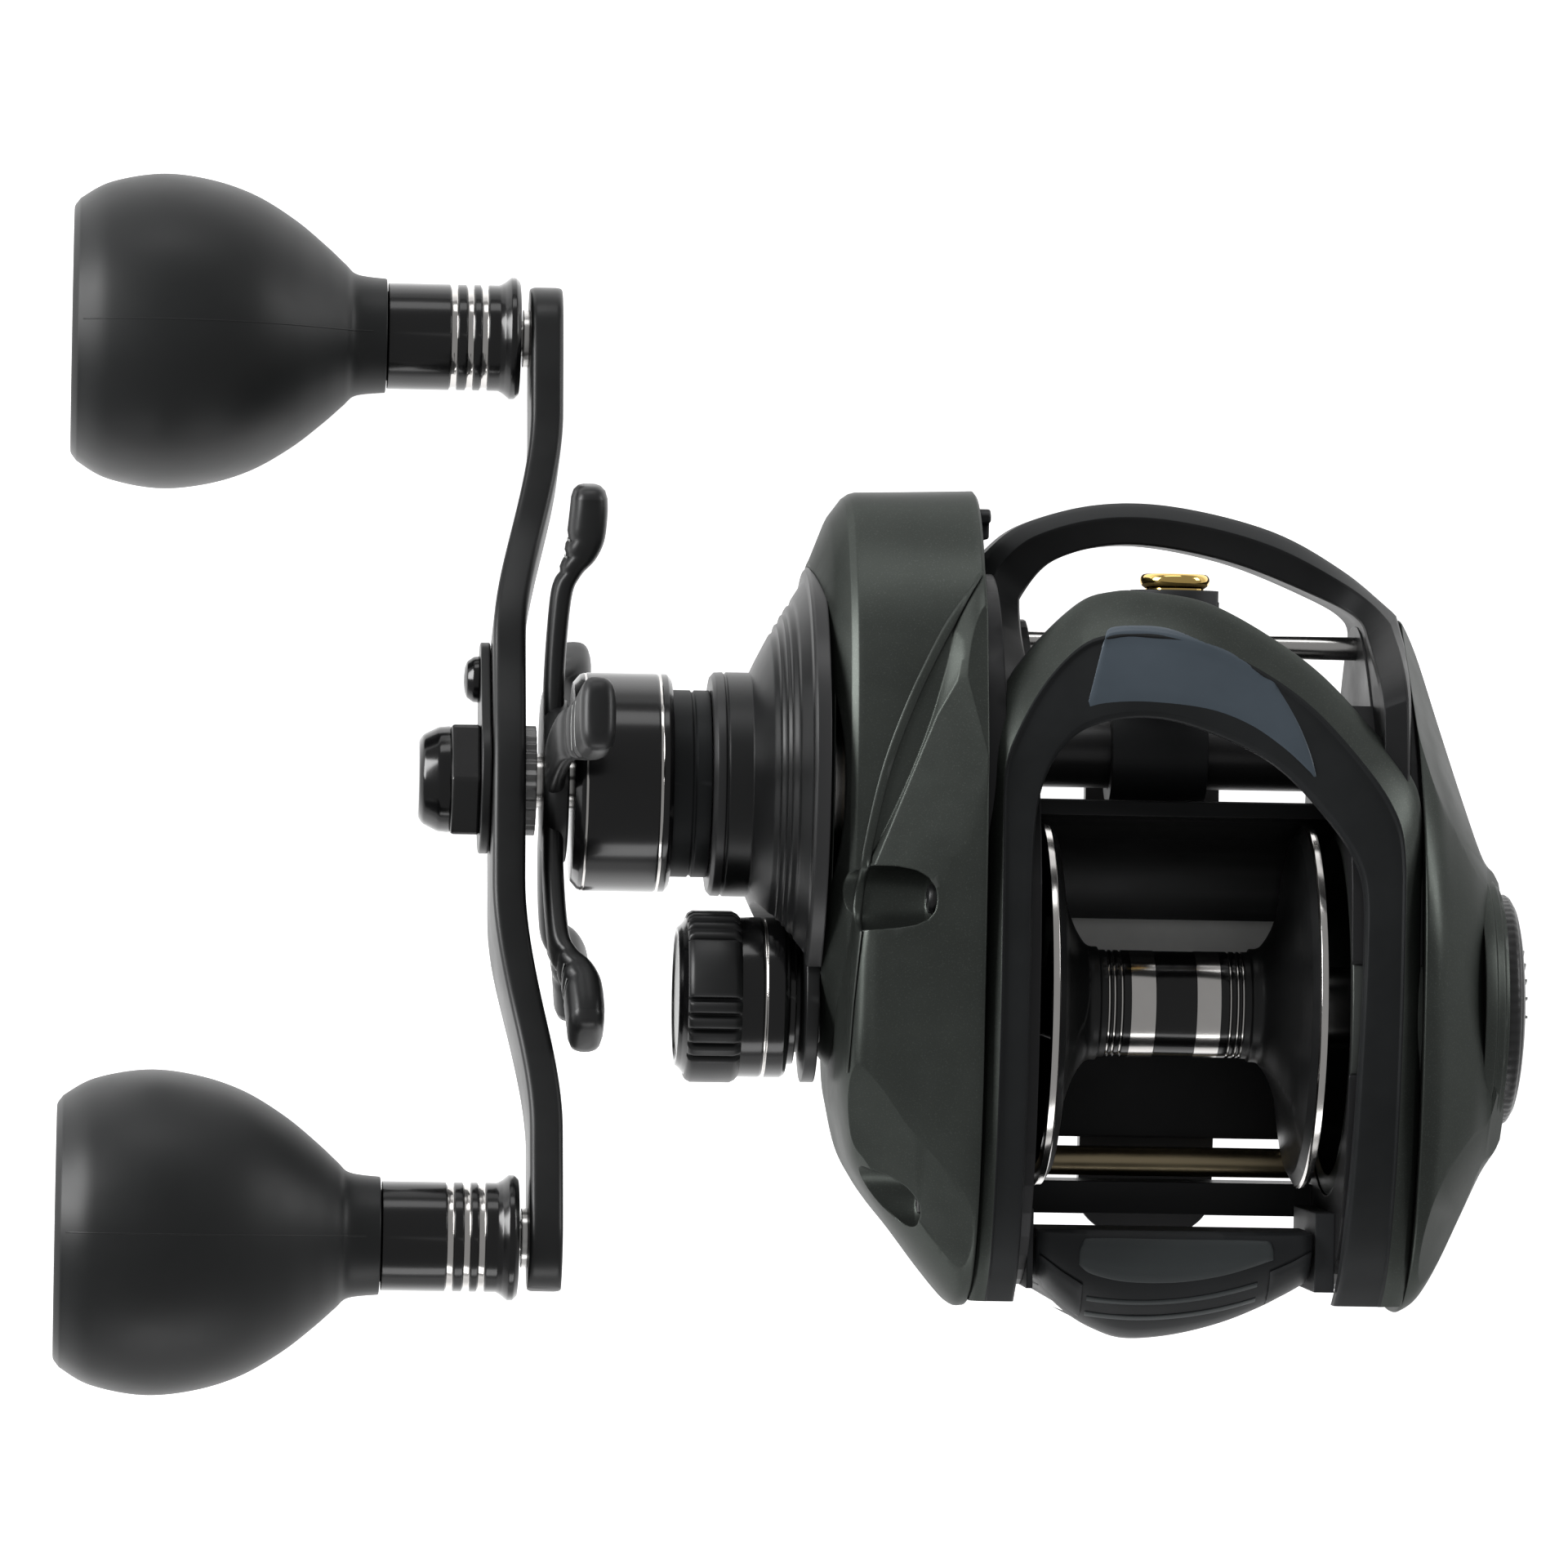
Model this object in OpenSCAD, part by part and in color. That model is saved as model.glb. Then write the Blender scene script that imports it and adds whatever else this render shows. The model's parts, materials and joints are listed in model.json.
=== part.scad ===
// Low-profile baitcasting reel with a double power handle, as a bench assembly.
// Millimetres. +Z up, +Y towards the rod tip, -X the handle side, +X the palm side.
// The origin is on the foot's flat underside, straight below the middle of the spool.

/* [Spool] */
// Height of the spool's axis above the foot's underside
spool_z = 26.5; // [26:0.1:27]
// Radius of the spool's flanges
flange_r = 20; // [19:0.1:20]
// Half of the spool's overall width
spool_half = 14.9; // [14:0.1:15]
// Radius of the spool's arbor
arbor_r = 5.8; // [5:0.1:8]

/* [Gears] */
// Teeth on the main gear
main_teeth = 78; // [78:1:78]
// Teeth on the pinion
pinion_teeth = 11; // [11:1:11]
// Distance of the drive shaft in front of the spool's axis
drive_y = 23.2; // [23:0.1:24]
// Height of the drive shaft
drive_z = 22.5; // [22:0.1:23]

/* [Handle] */
// Distance between the two knobs' axes
handle_len = 105.5; // [95:0.5:115]
// Thickness of the handle arm
arm_t = 3.6; // [3:0.1:4]
// Slope of the handle at rest, with the front knob the lower one
handle_tilt = 21.1; // [15:0.1:30]
// Largest diameter of a knob
knob_d = 35; // [30:0.5:38]
// Length of a knob's grip
knob_len = 34.9; // [30:0.1:40]

/* [Star drag] */
// Radius to the tips of the star's arms
star_r = 32.7; // [28:0.1:33]
// Turn of the star at rest, from the front towards the top
star_turn = 4.5; // [-36:0.5:36]
// Number of arms
star_arms = 5; // [5:1:5]

/* [Body] */
// Inner face of the frame's handle-side plate, from the middle of the spool
plate_in = 16.3; // [16.2:0.1:16.5]
// Seam between the frame and the handle side plate
seam_l = 22.4; // [22.2:0.1:22.6]
// Seam between the frame and the palm side plate
seam_r = 25; // [24.5:0.1:25.5]
// Rear end of the side plates
rear_y = -33.5; // [-35:0.1:-33]
// Top of the hood
top_z = 49; // [48.5:0.1:50]
// Bottom of the side plates
bottom_z = -1.5; // [-3:0.1:0]
// Radius of the gear housing towards the front and rear
housing_r = 32.3; // [31:0.1:33]
// Half of the gear housing's height
housing_h = 24.6; // [24.4:0.1:26]

/* [Foot] */
// Width of the foot
foot_w = 15; // [12:0.5:16]
// Rear end of the foot
foot_y0 = -27; // [-30:0.5:-25]
// Front end of the foot
foot_y1 = 31; // [28:0.5:32]

/* [Level wind] */
// Height of the line guide's ring
ring_z = 33; // [32:0.1:34]
// Radius of the ring's hole
ring_hole_r = 2.6; // [2.4:0.1:2.8]
// Rest position of the line guide along the worm
guide_x = -1.2; // [-3:0.1:3]

/* [Hidden] */
$fn = 64;

// Colours
charcoal = [0.10, 0.11, 0.12];
green_gray = [0.17, 0.19, 0.18];
satin_black = [0.06, 0.06, 0.065];
inlay_blue = [0.20, 0.24, 0.28];
steel = [0.72, 0.72, 0.74];
brass = [0.72, 0.58, 0.30];
bronze = [0.42, 0.35, 0.22];
gold = [0.90, 0.68, 0.25];
carbon = [0.13, 0.13, 0.14];

// Clearances
run = 0.05;    // shaft in its bore
gap = 0.35;    // faces of different bodies that pass each other
bite = 0.4;    // how far a cutting shape runs past a face

// Gear train
axes_apart = norm([drive_y, drive_z - spool_z]);
gear_module = 2 * axes_apart / (main_teeth + pinion_teeth);
// Direction from the drive shaft to the spool's axis, about +X from +Y
mesh_angle = atan2(spool_z - drive_z, -drive_y);
worm_module = 0.4;
worm_drive_teeth = 22;
worm_gear_teeth = 17;
worm_apart = worm_module * (worm_drive_teeth + worm_gear_teeth) / 2;
worm_angle = -56;
worm_y = drive_y + worm_apart * cos(worm_angle);
worm_z = drive_z + worm_apart * sin(worm_angle);

// Stations along X of the drive shaft's stack, from the frame outwards
gear_x0 = -34.6;
gear_x1 = -30;
cup_x = -37;
cup_r = 16;
wall_in = -38.6;
cover_in = -39.2;
boss_x0 = -51.1;
collar_x0 = -66.1;
collar_x1 = -55.4;
collar_end = -52;
star_x = -67;
spacer_x0 = -71.4;
spacer_x1 = -70.1;
arm_x = -71.4;
nut_x0 = -82.9;
arm_end_x = 4.2;

// Radii
shaft_r = 3;
sleeve_r = 5;
spool_shaft_r = 1.5;
journal_r = 3.4;
worm_r = 2.6;
guard_in = 3.1;
guard_out = 4;
rail_r = 1.3;
rail_y = 39.4;
rail_z = 20;
rod_r = 1.65;

// ---------- helper functions ----------
// A signed power, which squares off a circle
function power(v, e) = sign(v) * pow(abs(v), e);
// A squared-off oval in a box of y0 to y1 and z0 to z1. Its front is lower by nose.
function egg(y0, y1, z0, z1, n = 2.4, nose = 0, count = 48) = [
    for (i = [0 : count - 1])
        let (a = 360 * i / count,
             u = power(cos(a), 2 / n),
             v = power(sin(a), 2 / n),
             f = max(0, u))
        [(y0 + y1) / 2 + u * (y1 - y0) / 2,
         (z0 + z1) / 2 - nose * f * f * (z1 - z0) / 4
             + v * (z1 - z0) / 2 * (1 - nose * f * f)]
];
// Closed smooth curve through a few points
function spline_point(a, b, c, d, t) =
    0.5 * (2 * b + (c - a) * t + (2 * a - 5 * b + 4 * c - d) * t * t
        + (3 * b - a - 3 * c + d) * t * t * t);
function closed_curve(p, steps = 5) = [
    for (i = [0 : len(p) - 1])
        for (s = [0 : steps - 1])
            spline_point(p[(i + len(p) - 1) % len(p)], p[i],
                p[(i + 1) % len(p)], p[(i + 2) % len(p)], s / steps)
];
// Open smooth curve through a few points
function open_curve(p, steps = 5) = concat([
    for (i = [0 : len(p) - 2])
        for (s = [0 : steps - 1])
            spline_point(p[max(0, i - 1)], p[i], p[i + 1],
                p[min(len(p) - 1, i + 2)], s / steps)
], [p[len(p) - 1]]);

// A list in reverse order
function backwards(p) = [for (i = [len(p) - 1 : -1 : 0]) p[i]];

// Involute gear outline, centred on a tooth at angle 0
function involute(base, r) =
    let (t = sqrt(max(0, (r / base) * (r / base) - 1)))
    t * 180 / PI - atan(t);
function gear_points(m, teeth, pressure = 25, add = 0.8, ded = 1.0, slack = 0.06) =
    let (pitch = m * teeth / 2,
         base = pitch * cos(pressure),
         tip = pitch + add * m,
         root = pitch - ded * m,
         low = max(base, root),
         half = (90 - slack / pitch * 180 / PI) / teeth + involute(base, pitch))
    [for (i = [0 : teeth - 1])
        let (c = 360 * i / teeth)
        for (p = [[root, -1.02], [low, -1], [(low + tip) / 2, -1], [tip, -1],
                  [tip, 1], [(low + tip) / 2, 1], [low, 1], [root, 1.02]])
            let (a = c + p[1] * (half - involute(base, max(base, p[0]))))
            [p[0] * cos(a), p[0] * sin(a)]];

// ---------- helper modules ----------
// Extrudes an outline of (Y, Z) points from x0 to x1
module along_x(x0, x1) {
    translate([x0, 0, 0])
        rotate([90, 0, 90])
            linear_extrude(x1 - x0)
                children();
}
// Round bar or tube between two stations on an axis parallel to X
module rod_x(x0, x1, r, y = 0, z = 0, bore = 0) {
    translate([x0, y, z])
        rotate([0, 90, 0])
            difference() {
                cylinder(r = r, h = x1 - x0);
                if (bore > 0)
                    translate([0, 0, -bite])
                        cylinder(r = bore, h = x1 - x0 + 2 * bite);
            }
}
// Turned piece on an axis parallel to X, from (x, r) points
module turned(points, y = 0, z = 0) {
    translate([0, y, z])
        rotate([0, 90, 0])
            rotate_extrude()
                polygon([for (p = points) [p[1], p[0]]]);
}
// Moves to the drive shaft's axis, with local (Y, Z) centred on it
module on_drive() {
    translate([0, drive_y, drive_z])
        children();
}
// Solid skin through outlines that have the same number of (Y, Z) points
module loft(xs, outlines) {
    n = len(outlines[0]);
    last = len(xs) - 1;
    polyhedron(
        points = [for (i = [0 : last]) for (p = outlines[i]) [xs[i], p[0], p[1]]],
        faces = concat(
            [[for (k = [0 : n - 1]) k]],
            [[for (k = [n - 1 : -1 : 0]) last * n + k]],
            [for (i = [0 : last - 1]) for (k = [0 : n - 1])
                [i * n + k, (i + 1) * n + k, i * n + (k + 1) % n]],
            [for (i = [0 : last - 1]) for (k = [0 : n - 1])
                [i * n + (k + 1) % n, (i + 1) * n + k, (i + 1) * n + (k + 1) % n]]));
}
// Coil spring along X
module coil(x0, x1, r, wire, turns) {
    steps = 10;
    sides = 6;
    rings = turns * steps;
    polyhedron(
        points = [for (i = [0 : rings])
            let (a = 360 * i / steps, x = x0 + (x1 - x0) * i / rings)
            for (k = [0 : sides - 1])
                let (b = 360 * k / sides, q = r + wire * cos(b))
                [x + wire * sin(b), q * cos(a), q * sin(a)]],
        faces = concat(
            [[for (k = [0 : sides - 1]) k]],
            [[for (k = [sides - 1 : -1 : 0]) rings * sides + k]],
            [for (i = [0 : rings - 1]) for (k = [0 : sides - 1])
                [i * sides + k, (i + 1) * sides + k, i * sides + (k + 1) % sides]],
            [for (i = [0 : rings - 1]) for (k = [0 : sides - 1])
                [i * sides + (k + 1) % sides, (i + 1) * sides + k,
                 (i + 1) * sides + (k + 1) % sides]]));
}
// Ball bearing ring
module bearing(x0, x1, y, z, bore, outer) {
    rod_x(x0, x1, outer, y, z, bore);
}
// Cap screw along X: head towards side = -1 or 1
module screw_x(x, y, z, side, head_r = 1.7, head_t = 1.2, stem_r = 1, stem = 5) {
    difference() {
        union() {
            rod_x(min(x, x + side * head_t), max(x, x + side * head_t), head_r, y, z);
            rod_x(min(x, x - side * stem), max(x, x - side * stem), stem_r, y, z);
        }
        translate([x + side * head_t, y, z])
            rotate([0, 90, 0])
                cylinder(r = 0.8, h = 1.4, center = true, $fn = 6);
    }
}

// ---------- frame ----------
hood_t = 2.4;
front_y = 43;
frame_out = [rear_y + hood_t, front_y - 1, bottom_z + 1, top_z - hood_t];
function body_outline(out = 0) = egg(frame_out[0] - out, frame_out[1] + out,
    frame_out[2] - out, frame_out[3] + out, 2.6, 0.42);
floor_z = 3;
open_r = 20.7;

// Round wall behind the gears, wider than the plate at the front
module gear_wall(out = 0) {
    on_drive()
        rod_x(-seam_l - out, -seam_l + 2 + out, 23.6 + out);
}
module frame() {
    color(charcoal)
        difference() {
            union() {
                // handle-side plate
                along_x(-seam_l, -plate_in)
                    polygon(body_outline());
                gear_wall();
                // palm-side ring
                along_x(plate_in + 1, seam_r)
                    polygon(body_outline());
                // floor that carries the foot
                translate([-plate_in - bite, -15.4, floor_z])
                    cube([2 * plate_in + 2 + bite, 27.6, 2]);
                // front wall around the spool
                intersection() {
                    rod_x(-plate_in - bite, plate_in + 1 + bite, open_r + 1.6,
                        0, spool_z, open_r);
                    translate([-25, 9, floor_z])
                        cube([50, 14, 26]);
                }
                // rear crossbar
                translate([-plate_in - bite, -23.6, 5])
                    cube([2 * plate_in + 2 + bite, 3.6, 9]);
                // posts of the clutch yoke
                for (z = [-8.5, 8.5])
                    rod_x(-wall_yoke, -seam_l + 1, 1, -3, spool_z + z);
            }
            // opening that the spool comes out through
            rod_x(plate_in, seam_r + 1, open_r, 0, spool_z);
            // bores in the handle-side plate
            rod_x(-seam_l - 1, -plate_in + 1, 5.5, 0, spool_z);
            on_drive()
                rod_x(-seam_l - 1, -plate_in + 1, 4.5);
            rod_x(-seam_l - 1, seam_r - 2, 2.6, worm_y, worm_z);
            rod_x(-seam_l + 1, seam_r - 2, rail_r, rail_y, rail_z);
            rod_x(-seam_l + 1, seam_r - 2, rod_r, -17.8, 12);
            // space for the line at the palm side
            translate([plate_in, 33, 0])
                cube([4.1, 20, 50]);
            // slot for the clutch link
            translate([-seam_l - 1, -30.1, 19.5])
                cube([seam_l - plate_in + 2, 3.6, 10]);
            for (y = [-9, 9])
                translate([0, y, 0])
                    cylinder(r = 1.6, h = 12, center = true);
        }
}
wall_yoke = 36;

module reel_foot() {
    color(satin_black)
        difference() {
            intersection() {
                translate([0, 0, 0])
                    linear_extrude(floor_z)
                        union() {
                            translate([-foot_w / 2, foot_y0 + 3, 0])
                                square([foot_w, foot_y1 - foot_y0 - 6]);
                            for (y = [foot_y0 + 5, foot_y1 - 5])
                                translate([0, y])
                                    scale([foot_w / 10, 1])
                                        circle(r = 5);
                        }
                // thin blades at both ends, thick in the middle
                translate([-foot_w, 0, 0])
                    along_x(0, 2 * foot_w)
                        polygon([[foot_y0, 0], [foot_y1, 0], [foot_y1, 1.3],
                            [17, floor_z], [-13, floor_z], [foot_y0, 1.3]]);
            }
            for (y = [-9, 9])
                translate([0, y, -1])
                    cylinder(r = 1.6, h = 8);
        }
}
module foot_screws() {
    color(steel)
        for (y = [-9, 9])
            translate([0, y, 0.4]) {
                cylinder(r = 1.55, h = 5.4);
                translate([0, 0, 4.6])
                    cylinder(r = 2.6, h = 0.9);
            }
}

// Plan outlines of the hood and of the front arch, as (X, Y) points
hood_plan = concat([[-seam_l, rear_y + 1], [-seam_l, 30]],
    open_curve([[-21.4, 33.1], [-17, 39.1], [-12.1, 44], [-6, 45], [2.6, 43.7],
        [12.5, 37.7], [19.2, 31], [seam_r - 1, 25]]),
    [[seam_r, 20], [seam_r, rear_y + 1]]);
hood_hole = concat([[-17.6, rear_y], [-17.4, 10]],
    open_curve([[-17, 21.5], [-14.4, 27.7], [-9.9, 30.6], [-2.4, 30.9], [7.5, 27.1],
        [13.8, 21.4], [18.1, 14.7], [18.5, 6]]),
    [[17.4, rear_y]]);
hood_top = open_curve([[rear_y, 34], [-28, 41.3], [-16, 46.8], [0, top_z],
    [16, 48.2], [30, 46.4], [40, 43.6], [46, 41.6]], 4);
hood_thick = 3.6;
// Band under the hood's top surface, from low to high below it
module hood_band(low, high) {
    along_x(-40, 40)
        polygon(concat([for (p = hood_top) [p[0], p[1] - high]],
            backwards([for (p = hood_top) [p[0], p[1] - low]])));
}
module hood() {
    color(charcoal)
        difference() {
            intersection() {
                linear_extrude(60)
                    difference() {
                        polygon(hood_plan);
                        polygon(hood_hole);
                    }
                hood_band(hood_thick, 0);
            }
            along_x(-seam_l - 1, seam_r + 1)
                polygon(body_outline());
            rod_x(plate_in, seam_r + 1, open_r, 0, spool_z);
            gear_wall(0.02);
            intersection() {
                linear_extrude(60)
                    polygon(inlay_plan);
                hood_band(0.9, -1);
            }
        }
}
inlay_plan = concat([[-12.1, 32]], [[-9.8, 40.4]],
    open_curve([[-8.6, 41.2], [-4.2, 41.3], [3.8, 38.8], [8.9, 34.8], [11.6, 29.8]]),
    [[13.1, 25]], open_curve([[5.8, 30.2], [-3.1, 32.4], [-10.5, 32]]));
module hood_inlay() {
    color(inlay_blue)
        intersection() {
            linear_extrude(60)
                polygon(inlay_plan);
            hood_band(0.9, 0.15);
        }
}
arch_outer = concat([[-seam_l, 30], [-seam_l, 46]],
    open_curve([[-21, 49], [-17, 52.3], [-9, 54.8], [0, 54.8], [11.1, 52.3],
        [19.3, 47.9], [25, 42.8]]),
    [[seam_r, 30]]);
arch_inner = concat([[-17.4, 20], [-17.4, 40]],
    open_curve([[-17.2, 44.2], [-13.3, 48.6], [-5.2, 50.6], [5.7, 49.3],
        [15.7, 45.9], [20.4, 43], [21, 39]]),
    [[21, 20]]);
module front_arch() {
    color(charcoal)
        difference() {
            intersection() {
                linear_extrude(30)
                    difference() {
                        polygon(arch_outer);
                        polygon(arch_inner);
                    }
                along_x(-40, 40)
                    polygon([[29, 7], [44, 10], [56, 14], [56, 20], [44, 22], [29, 22]]);
            }
            along_x(-seam_l - 1, seam_r + 1)
                polygon(body_outline());
            gear_wall(0.02);
        }
}

module rear_rod() {
    color(bronze)
        rod_x(-seam_l + 1.5, seam_r - 2.2, rod_r - 0.01, -17.8, 12);
}
module guide_rail() {
    color(steel)
        rod_x(-seam_l + 1.5, seam_r - 2.2, rail_r - 0.01, rail_y, rail_z);
}
module thumb_bar_guides() {
    color(satin_black)
        difference() {
            for (x = [[-plate_in, -15.62], [15.15, plate_in + 1]])
                translate([x[0], rear_y + 2.6, 16])
                    cube([x[1] - x[0], 8.6, 20]);
            // way through for the clutch link
            translate([-plate_in - 1, -30.1, 19.5])
                cube([2, 3.6, 10]);
        }
}
module shaft_bearings() {
    color(steel) {
        bearing(-21.6, -18.4, 0, spool_z, journal_r + run, 5.49);
        on_drive()
            bearing(-21.6, -17.6, 0, 0, shaft_r + run, 4.49);
        bearing(-49.6, -46.6, 0, spool_z, spool_shaft_r + run, 4);
    }
}
module worm_guard() {
    color(satin_black)
        difference() {
            rod_x(-plate_in, plate_in + 1, guard_out, worm_y, worm_z, guard_in);
            // slot that the pawl runs in
            translate([-plate_in + 2, worm_y - 1.3, worm_z - 6])
                cube([2 * plate_in - 3, 2.6, 5]);
        }
}
module worm_bushes() {
    color(brass)
        for (x = [-20.4, plate_in + 2.1])
            rod_x(x, x + 3, 2.59, worm_y, worm_z, 1.5 + run);
}

// ---------- handle side ----------
// Screws of the side plate, as the head's seat (X) and its axis (Y, Z)
side_screws = [[-27.6, 11.3, 46.2], [-27.5, -21.3, 38.6], [-31.5, 8, 1.8]];
rear_shell = [
    egg(rear_y, 48, bottom_z, top_z, 2.6),
    egg(rear_y + 1.2, 44.5, bottom_z + 0.4, top_z - 0.3, 2.6),
    egg(rear_y + 7.5, 34, 0, top_z - 1.6, 2.5),
    egg(rear_y + 13.5, 21.5, 3, top_z - 4.5, 2.4),
    egg(rear_y + 19, 8, 9, top_z - 11, 2.3)
];
rear_shell_x = [-seam_l, -25, -29.8, -34.5, -37.2];
function housing_outline(out = 0) = [
    for (p = egg(-housing_r - out, housing_r + out, -housing_h - out,
                 housing_h + out, 2.15))
        [p[0] + drive_y, p[1] + drive_z - 0.5]];
module handle_side_plate() {
    color(green_gray)
        difference() {
            union() {
                loft([for (i = [4 : -1 : 0]) rear_shell_x[i]],
                    [for (i = [4 : -1 : 0]) rear_shell[i]]);
                loft([-40.6, -38.6, -36, -seam_l],
                    [housing_outline(-7.6), housing_outline(-3), housing_outline(),
                     housing_outline(0.6)]);
            }
            // gear chamber
            along_x(wall_in, -seam_l + 1)
                translate([drive_y, drive_z])
                    circle(r = 22.6);
            along_x(-36.9, -seam_l + 1)
                translate([-7, spool_z - 12])
                    square([16, 24]);
            along_x(-26.5, -seam_l + 1)
                translate([-30, 17])
                    square([24, 14]);
            // hole for the drag stack and seat of the gear cover
            on_drive()
                rod_x(-42, wall_in + 1, 17);
            on_drive()
                rod_x(-42, cover_in, 24.1);
            // bore and seat of the tension spigot
            rod_x(-42, -36, 5, 0, spool_z);
            rod_x(-42, cover_in, 9.4, 0, spool_z);
            // recesses and holes of the screws
            for (p = side_screws) {
                rod_x(-60, p[0], 3.1, p[1], p[2]);
                rod_x(p[0] - 1, p[0] + 6, 1.02, p[1], p[2]);
            }
        }
}
module gear_cover() {
    color(satin_black) {
        difference() {
            on_drive()
                turned([[-39.25, 5.6], [-39.25, 24], [-40.8, 23.9], [-41.6, 21.6],
                    [-42.2, 21.4], [-42.9, 19.4], [-43.5, 19.1], [-44.2, 17.2],
                    [-44.8, 16.8], [-46, 13.6], [-46.9, 12.4], [-48.4, 12.3],
                    [-50.6, 12.3], [boss_x0, 11.8], [boss_x0, 9.2], [-42.4, 9.2],
                    [-42.4, 5.6]]);
            rod_x(-50, -39, 10.4, 0, spool_z);
        }
        // spigot that the tension knob screws on
        turned([[-49.8, 4.05], [-49.8, 6], [-41, 6], [-40.6, 9.3], [-39.25, 9.3],
            [-39.25, 4.99], [-36.4, 4.99], [-36.4, 3.9], [-46.5, 3.9], [-46.5, 4.05]],
            0, spool_z);
    }
}
module roller_clutch() {
    color(steel)
        on_drive() {
            rod_x(-50.6, -42.5, 9.15, 0, 0, 7.4);
            for (a = [0 : 45 : 315])
                rotate([a, 0, 0])
                    rod_x(-49.8, -43.3, 0.9, 6.2);
        }
}
module side_plate_screws() {
    color(steel)
        for (p = side_screws)
            screw_x(p[0], p[1], p[2], -1);
}
module yoke_springs() {
    color(steel)
        for (z = [-8.5, 8.5])
            translate([0, -3, spool_z + z])
                coil(-35.8, -28.9, 1.6, 0.25, 5);
}

// ---------- palm side ----------
palm_x = [seam_r, 27, 29, 31.5, 34, 36];
palm_shell = [
    egg(rear_y, front_y - 0.4, bottom_z, top_z, 2.6, 0.42),
    egg(rear_y + 1.2, 38.8, bottom_z + 0.7, top_z - 0.9, 2.6, 0.38),
    egg(rear_y + 4.3, 32, 1, top_z - 3, 2.5, 0.3),
    egg(rear_y + 9.5, 24, 4, top_z - 6, 2.4, 0.2),
    egg(rear_y + 14.7, 17, 7.5, top_z - 9.5, 2.3, 0.1),
    egg(-14.5, 13.6, 12, 41, 2.1)
];
module palm_side_plate() {
    color(green_gray)
        difference() {
            union() {
                loft(palm_x, palm_shell);
                // plug that fills the frame's opening
                rod_x(plate_in + 1.1, seam_r + 1, open_r - 0.15, 0, spool_z);
            }
            // hollow over the brake
            rod_x(plate_in, 30.5, 18.4, 0, spool_z);
            rod_x(30, 33.9, 11, 0, spool_z);
            rod_x(33, 40, 6, 0, spool_z);
            // recess of the dial
            rod_x(35, 40, 13, 0, spool_z);
        }
    // bearing spider across the hollow
    color(green_gray)
        difference() {
            union() {
                rod_x(24, 26.4, 5.4, 0, spool_z);
                for (a = [0 : 120 : 240])
                    translate([0, 0, spool_z])
                        rotate([a, 0, 0])
                            translate([24, 4, -1.5])
                                cube([2.4, 14.8, 3]);
            }
            rod_x(23, 28, 4, 0, spool_z);
        }
}
module palm_bearing() {
    color(steel)
        bearing(24.1, 26.3, 0, spool_z, spool_shaft_r + run, 3.99);
}
module brake_dial() {
    color(charcoal)
        difference() {
            turned([[29.2, 0], [29.2, 5.9], [35.1, 5.9], [35.1, 12.7], [36.6, 12.7],
                [37.6, 11.8], [38.3, 8], [38.3, 0]], 0, spool_z);
            for (a = [0 : 15 : 345])
                translate([0, 0, spool_z])
                    rotate([a, 0, 0])
                        rod_x(35.6, 39, 0.5, 12.9);
        }
}
module brake_magnets() {
    color(steel)
        translate([0, 0, spool_z])
            for (a = [0 : 45 : 315])
                rotate([a, 0, 0])
                    rod_x(27.7, 29.19, 1.4, 4);
}

// ---------- spool ----------
module spool() {
    rim = spool_half;
    color(satin_black)
        turned(concat(
            [[-rim, flange_r], [-rim, flange_r - 2.2], [-rim + 1.6, flange_r - 3.4],
             [-rim + 1.6, 7], [-rim + 2.6, 4.2], [-rim - 1, 3.2], [-rim - 1, spool_shaft_r]],
            [[rim - 4, spool_shaft_r], [rim - 4, 3.2], [rim - 1.6, 4.6], [rim - 1.6, 17.2],
             [rim, 17.9], [rim, flange_r]],
            [[rim - 1.3, flange_r], [rim - 1.9, flange_r - 1.4]],
            open_curve([[12.6, 15], [11.2, 9], [9.7, 6.6], [8.2, arbor_r + 0.1]]),
            [[7.6, arbor_r], [-7.6, arbor_r]],
            open_curve([[-8.2, arbor_r + 0.1], [-9.7, 6.6], [-11.2, 9], [-12.6, 15]]),
            [[-rim + 1.9, flange_r - 1.4], [-rim + 1.3, flange_r]]), 0, spool_z);
}
module spool_shaft() {
    color(steel)
        difference() {
            rod_x(-50.2, 26.8, spool_shaft_r, 0, spool_z);
            translate([-17.9, 0, spool_z])
                cylinder(r = 0.5, h = 6, center = true);
        }
}
module spool_pin() {
    color(steel)
        translate([-17.9, 0, spool_z])
            cylinder(r = 0.49, h = 5, center = true);
}
module brake_rotor() {
    color(steel)
        turned([[rim_in, 3.2], [rim_in, 4.4], [23.2, 4.4], [23.2, 9], [23.9, 9],
            [23.9, 2.2], [22.6, 2.2], [22.6, 1.5], [rim_in, 1.5]], 0, spool_z);
}
rim_in = 15;

// ---------- clutch ----------
module pinion_gear() {
    slot = 1.3;
    color(brass)
        difference() {
            union() {
                translate([0, 0, spool_z])
                    along_x(-35.4, -28.5)
                        rotate(mesh_turn)
                            polygon(gear_points(gear_module, pinion_teeth));
                rod_x(-28.5, -28.2, 3.3, 0, spool_z);
                rod_x(-28.3, -26.6, 2.3, 0, spool_z);
                rod_x(-26.7, -17.4, journal_r, 0, spool_z);
            }
            rod_x(-36, -17, spool_shaft_r + run, 0, spool_z);
            translate([-17.4 - slot, -0.6, spool_z - 4])
                cube([slot + 1, 1.2, 8]);
        }
}
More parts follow.
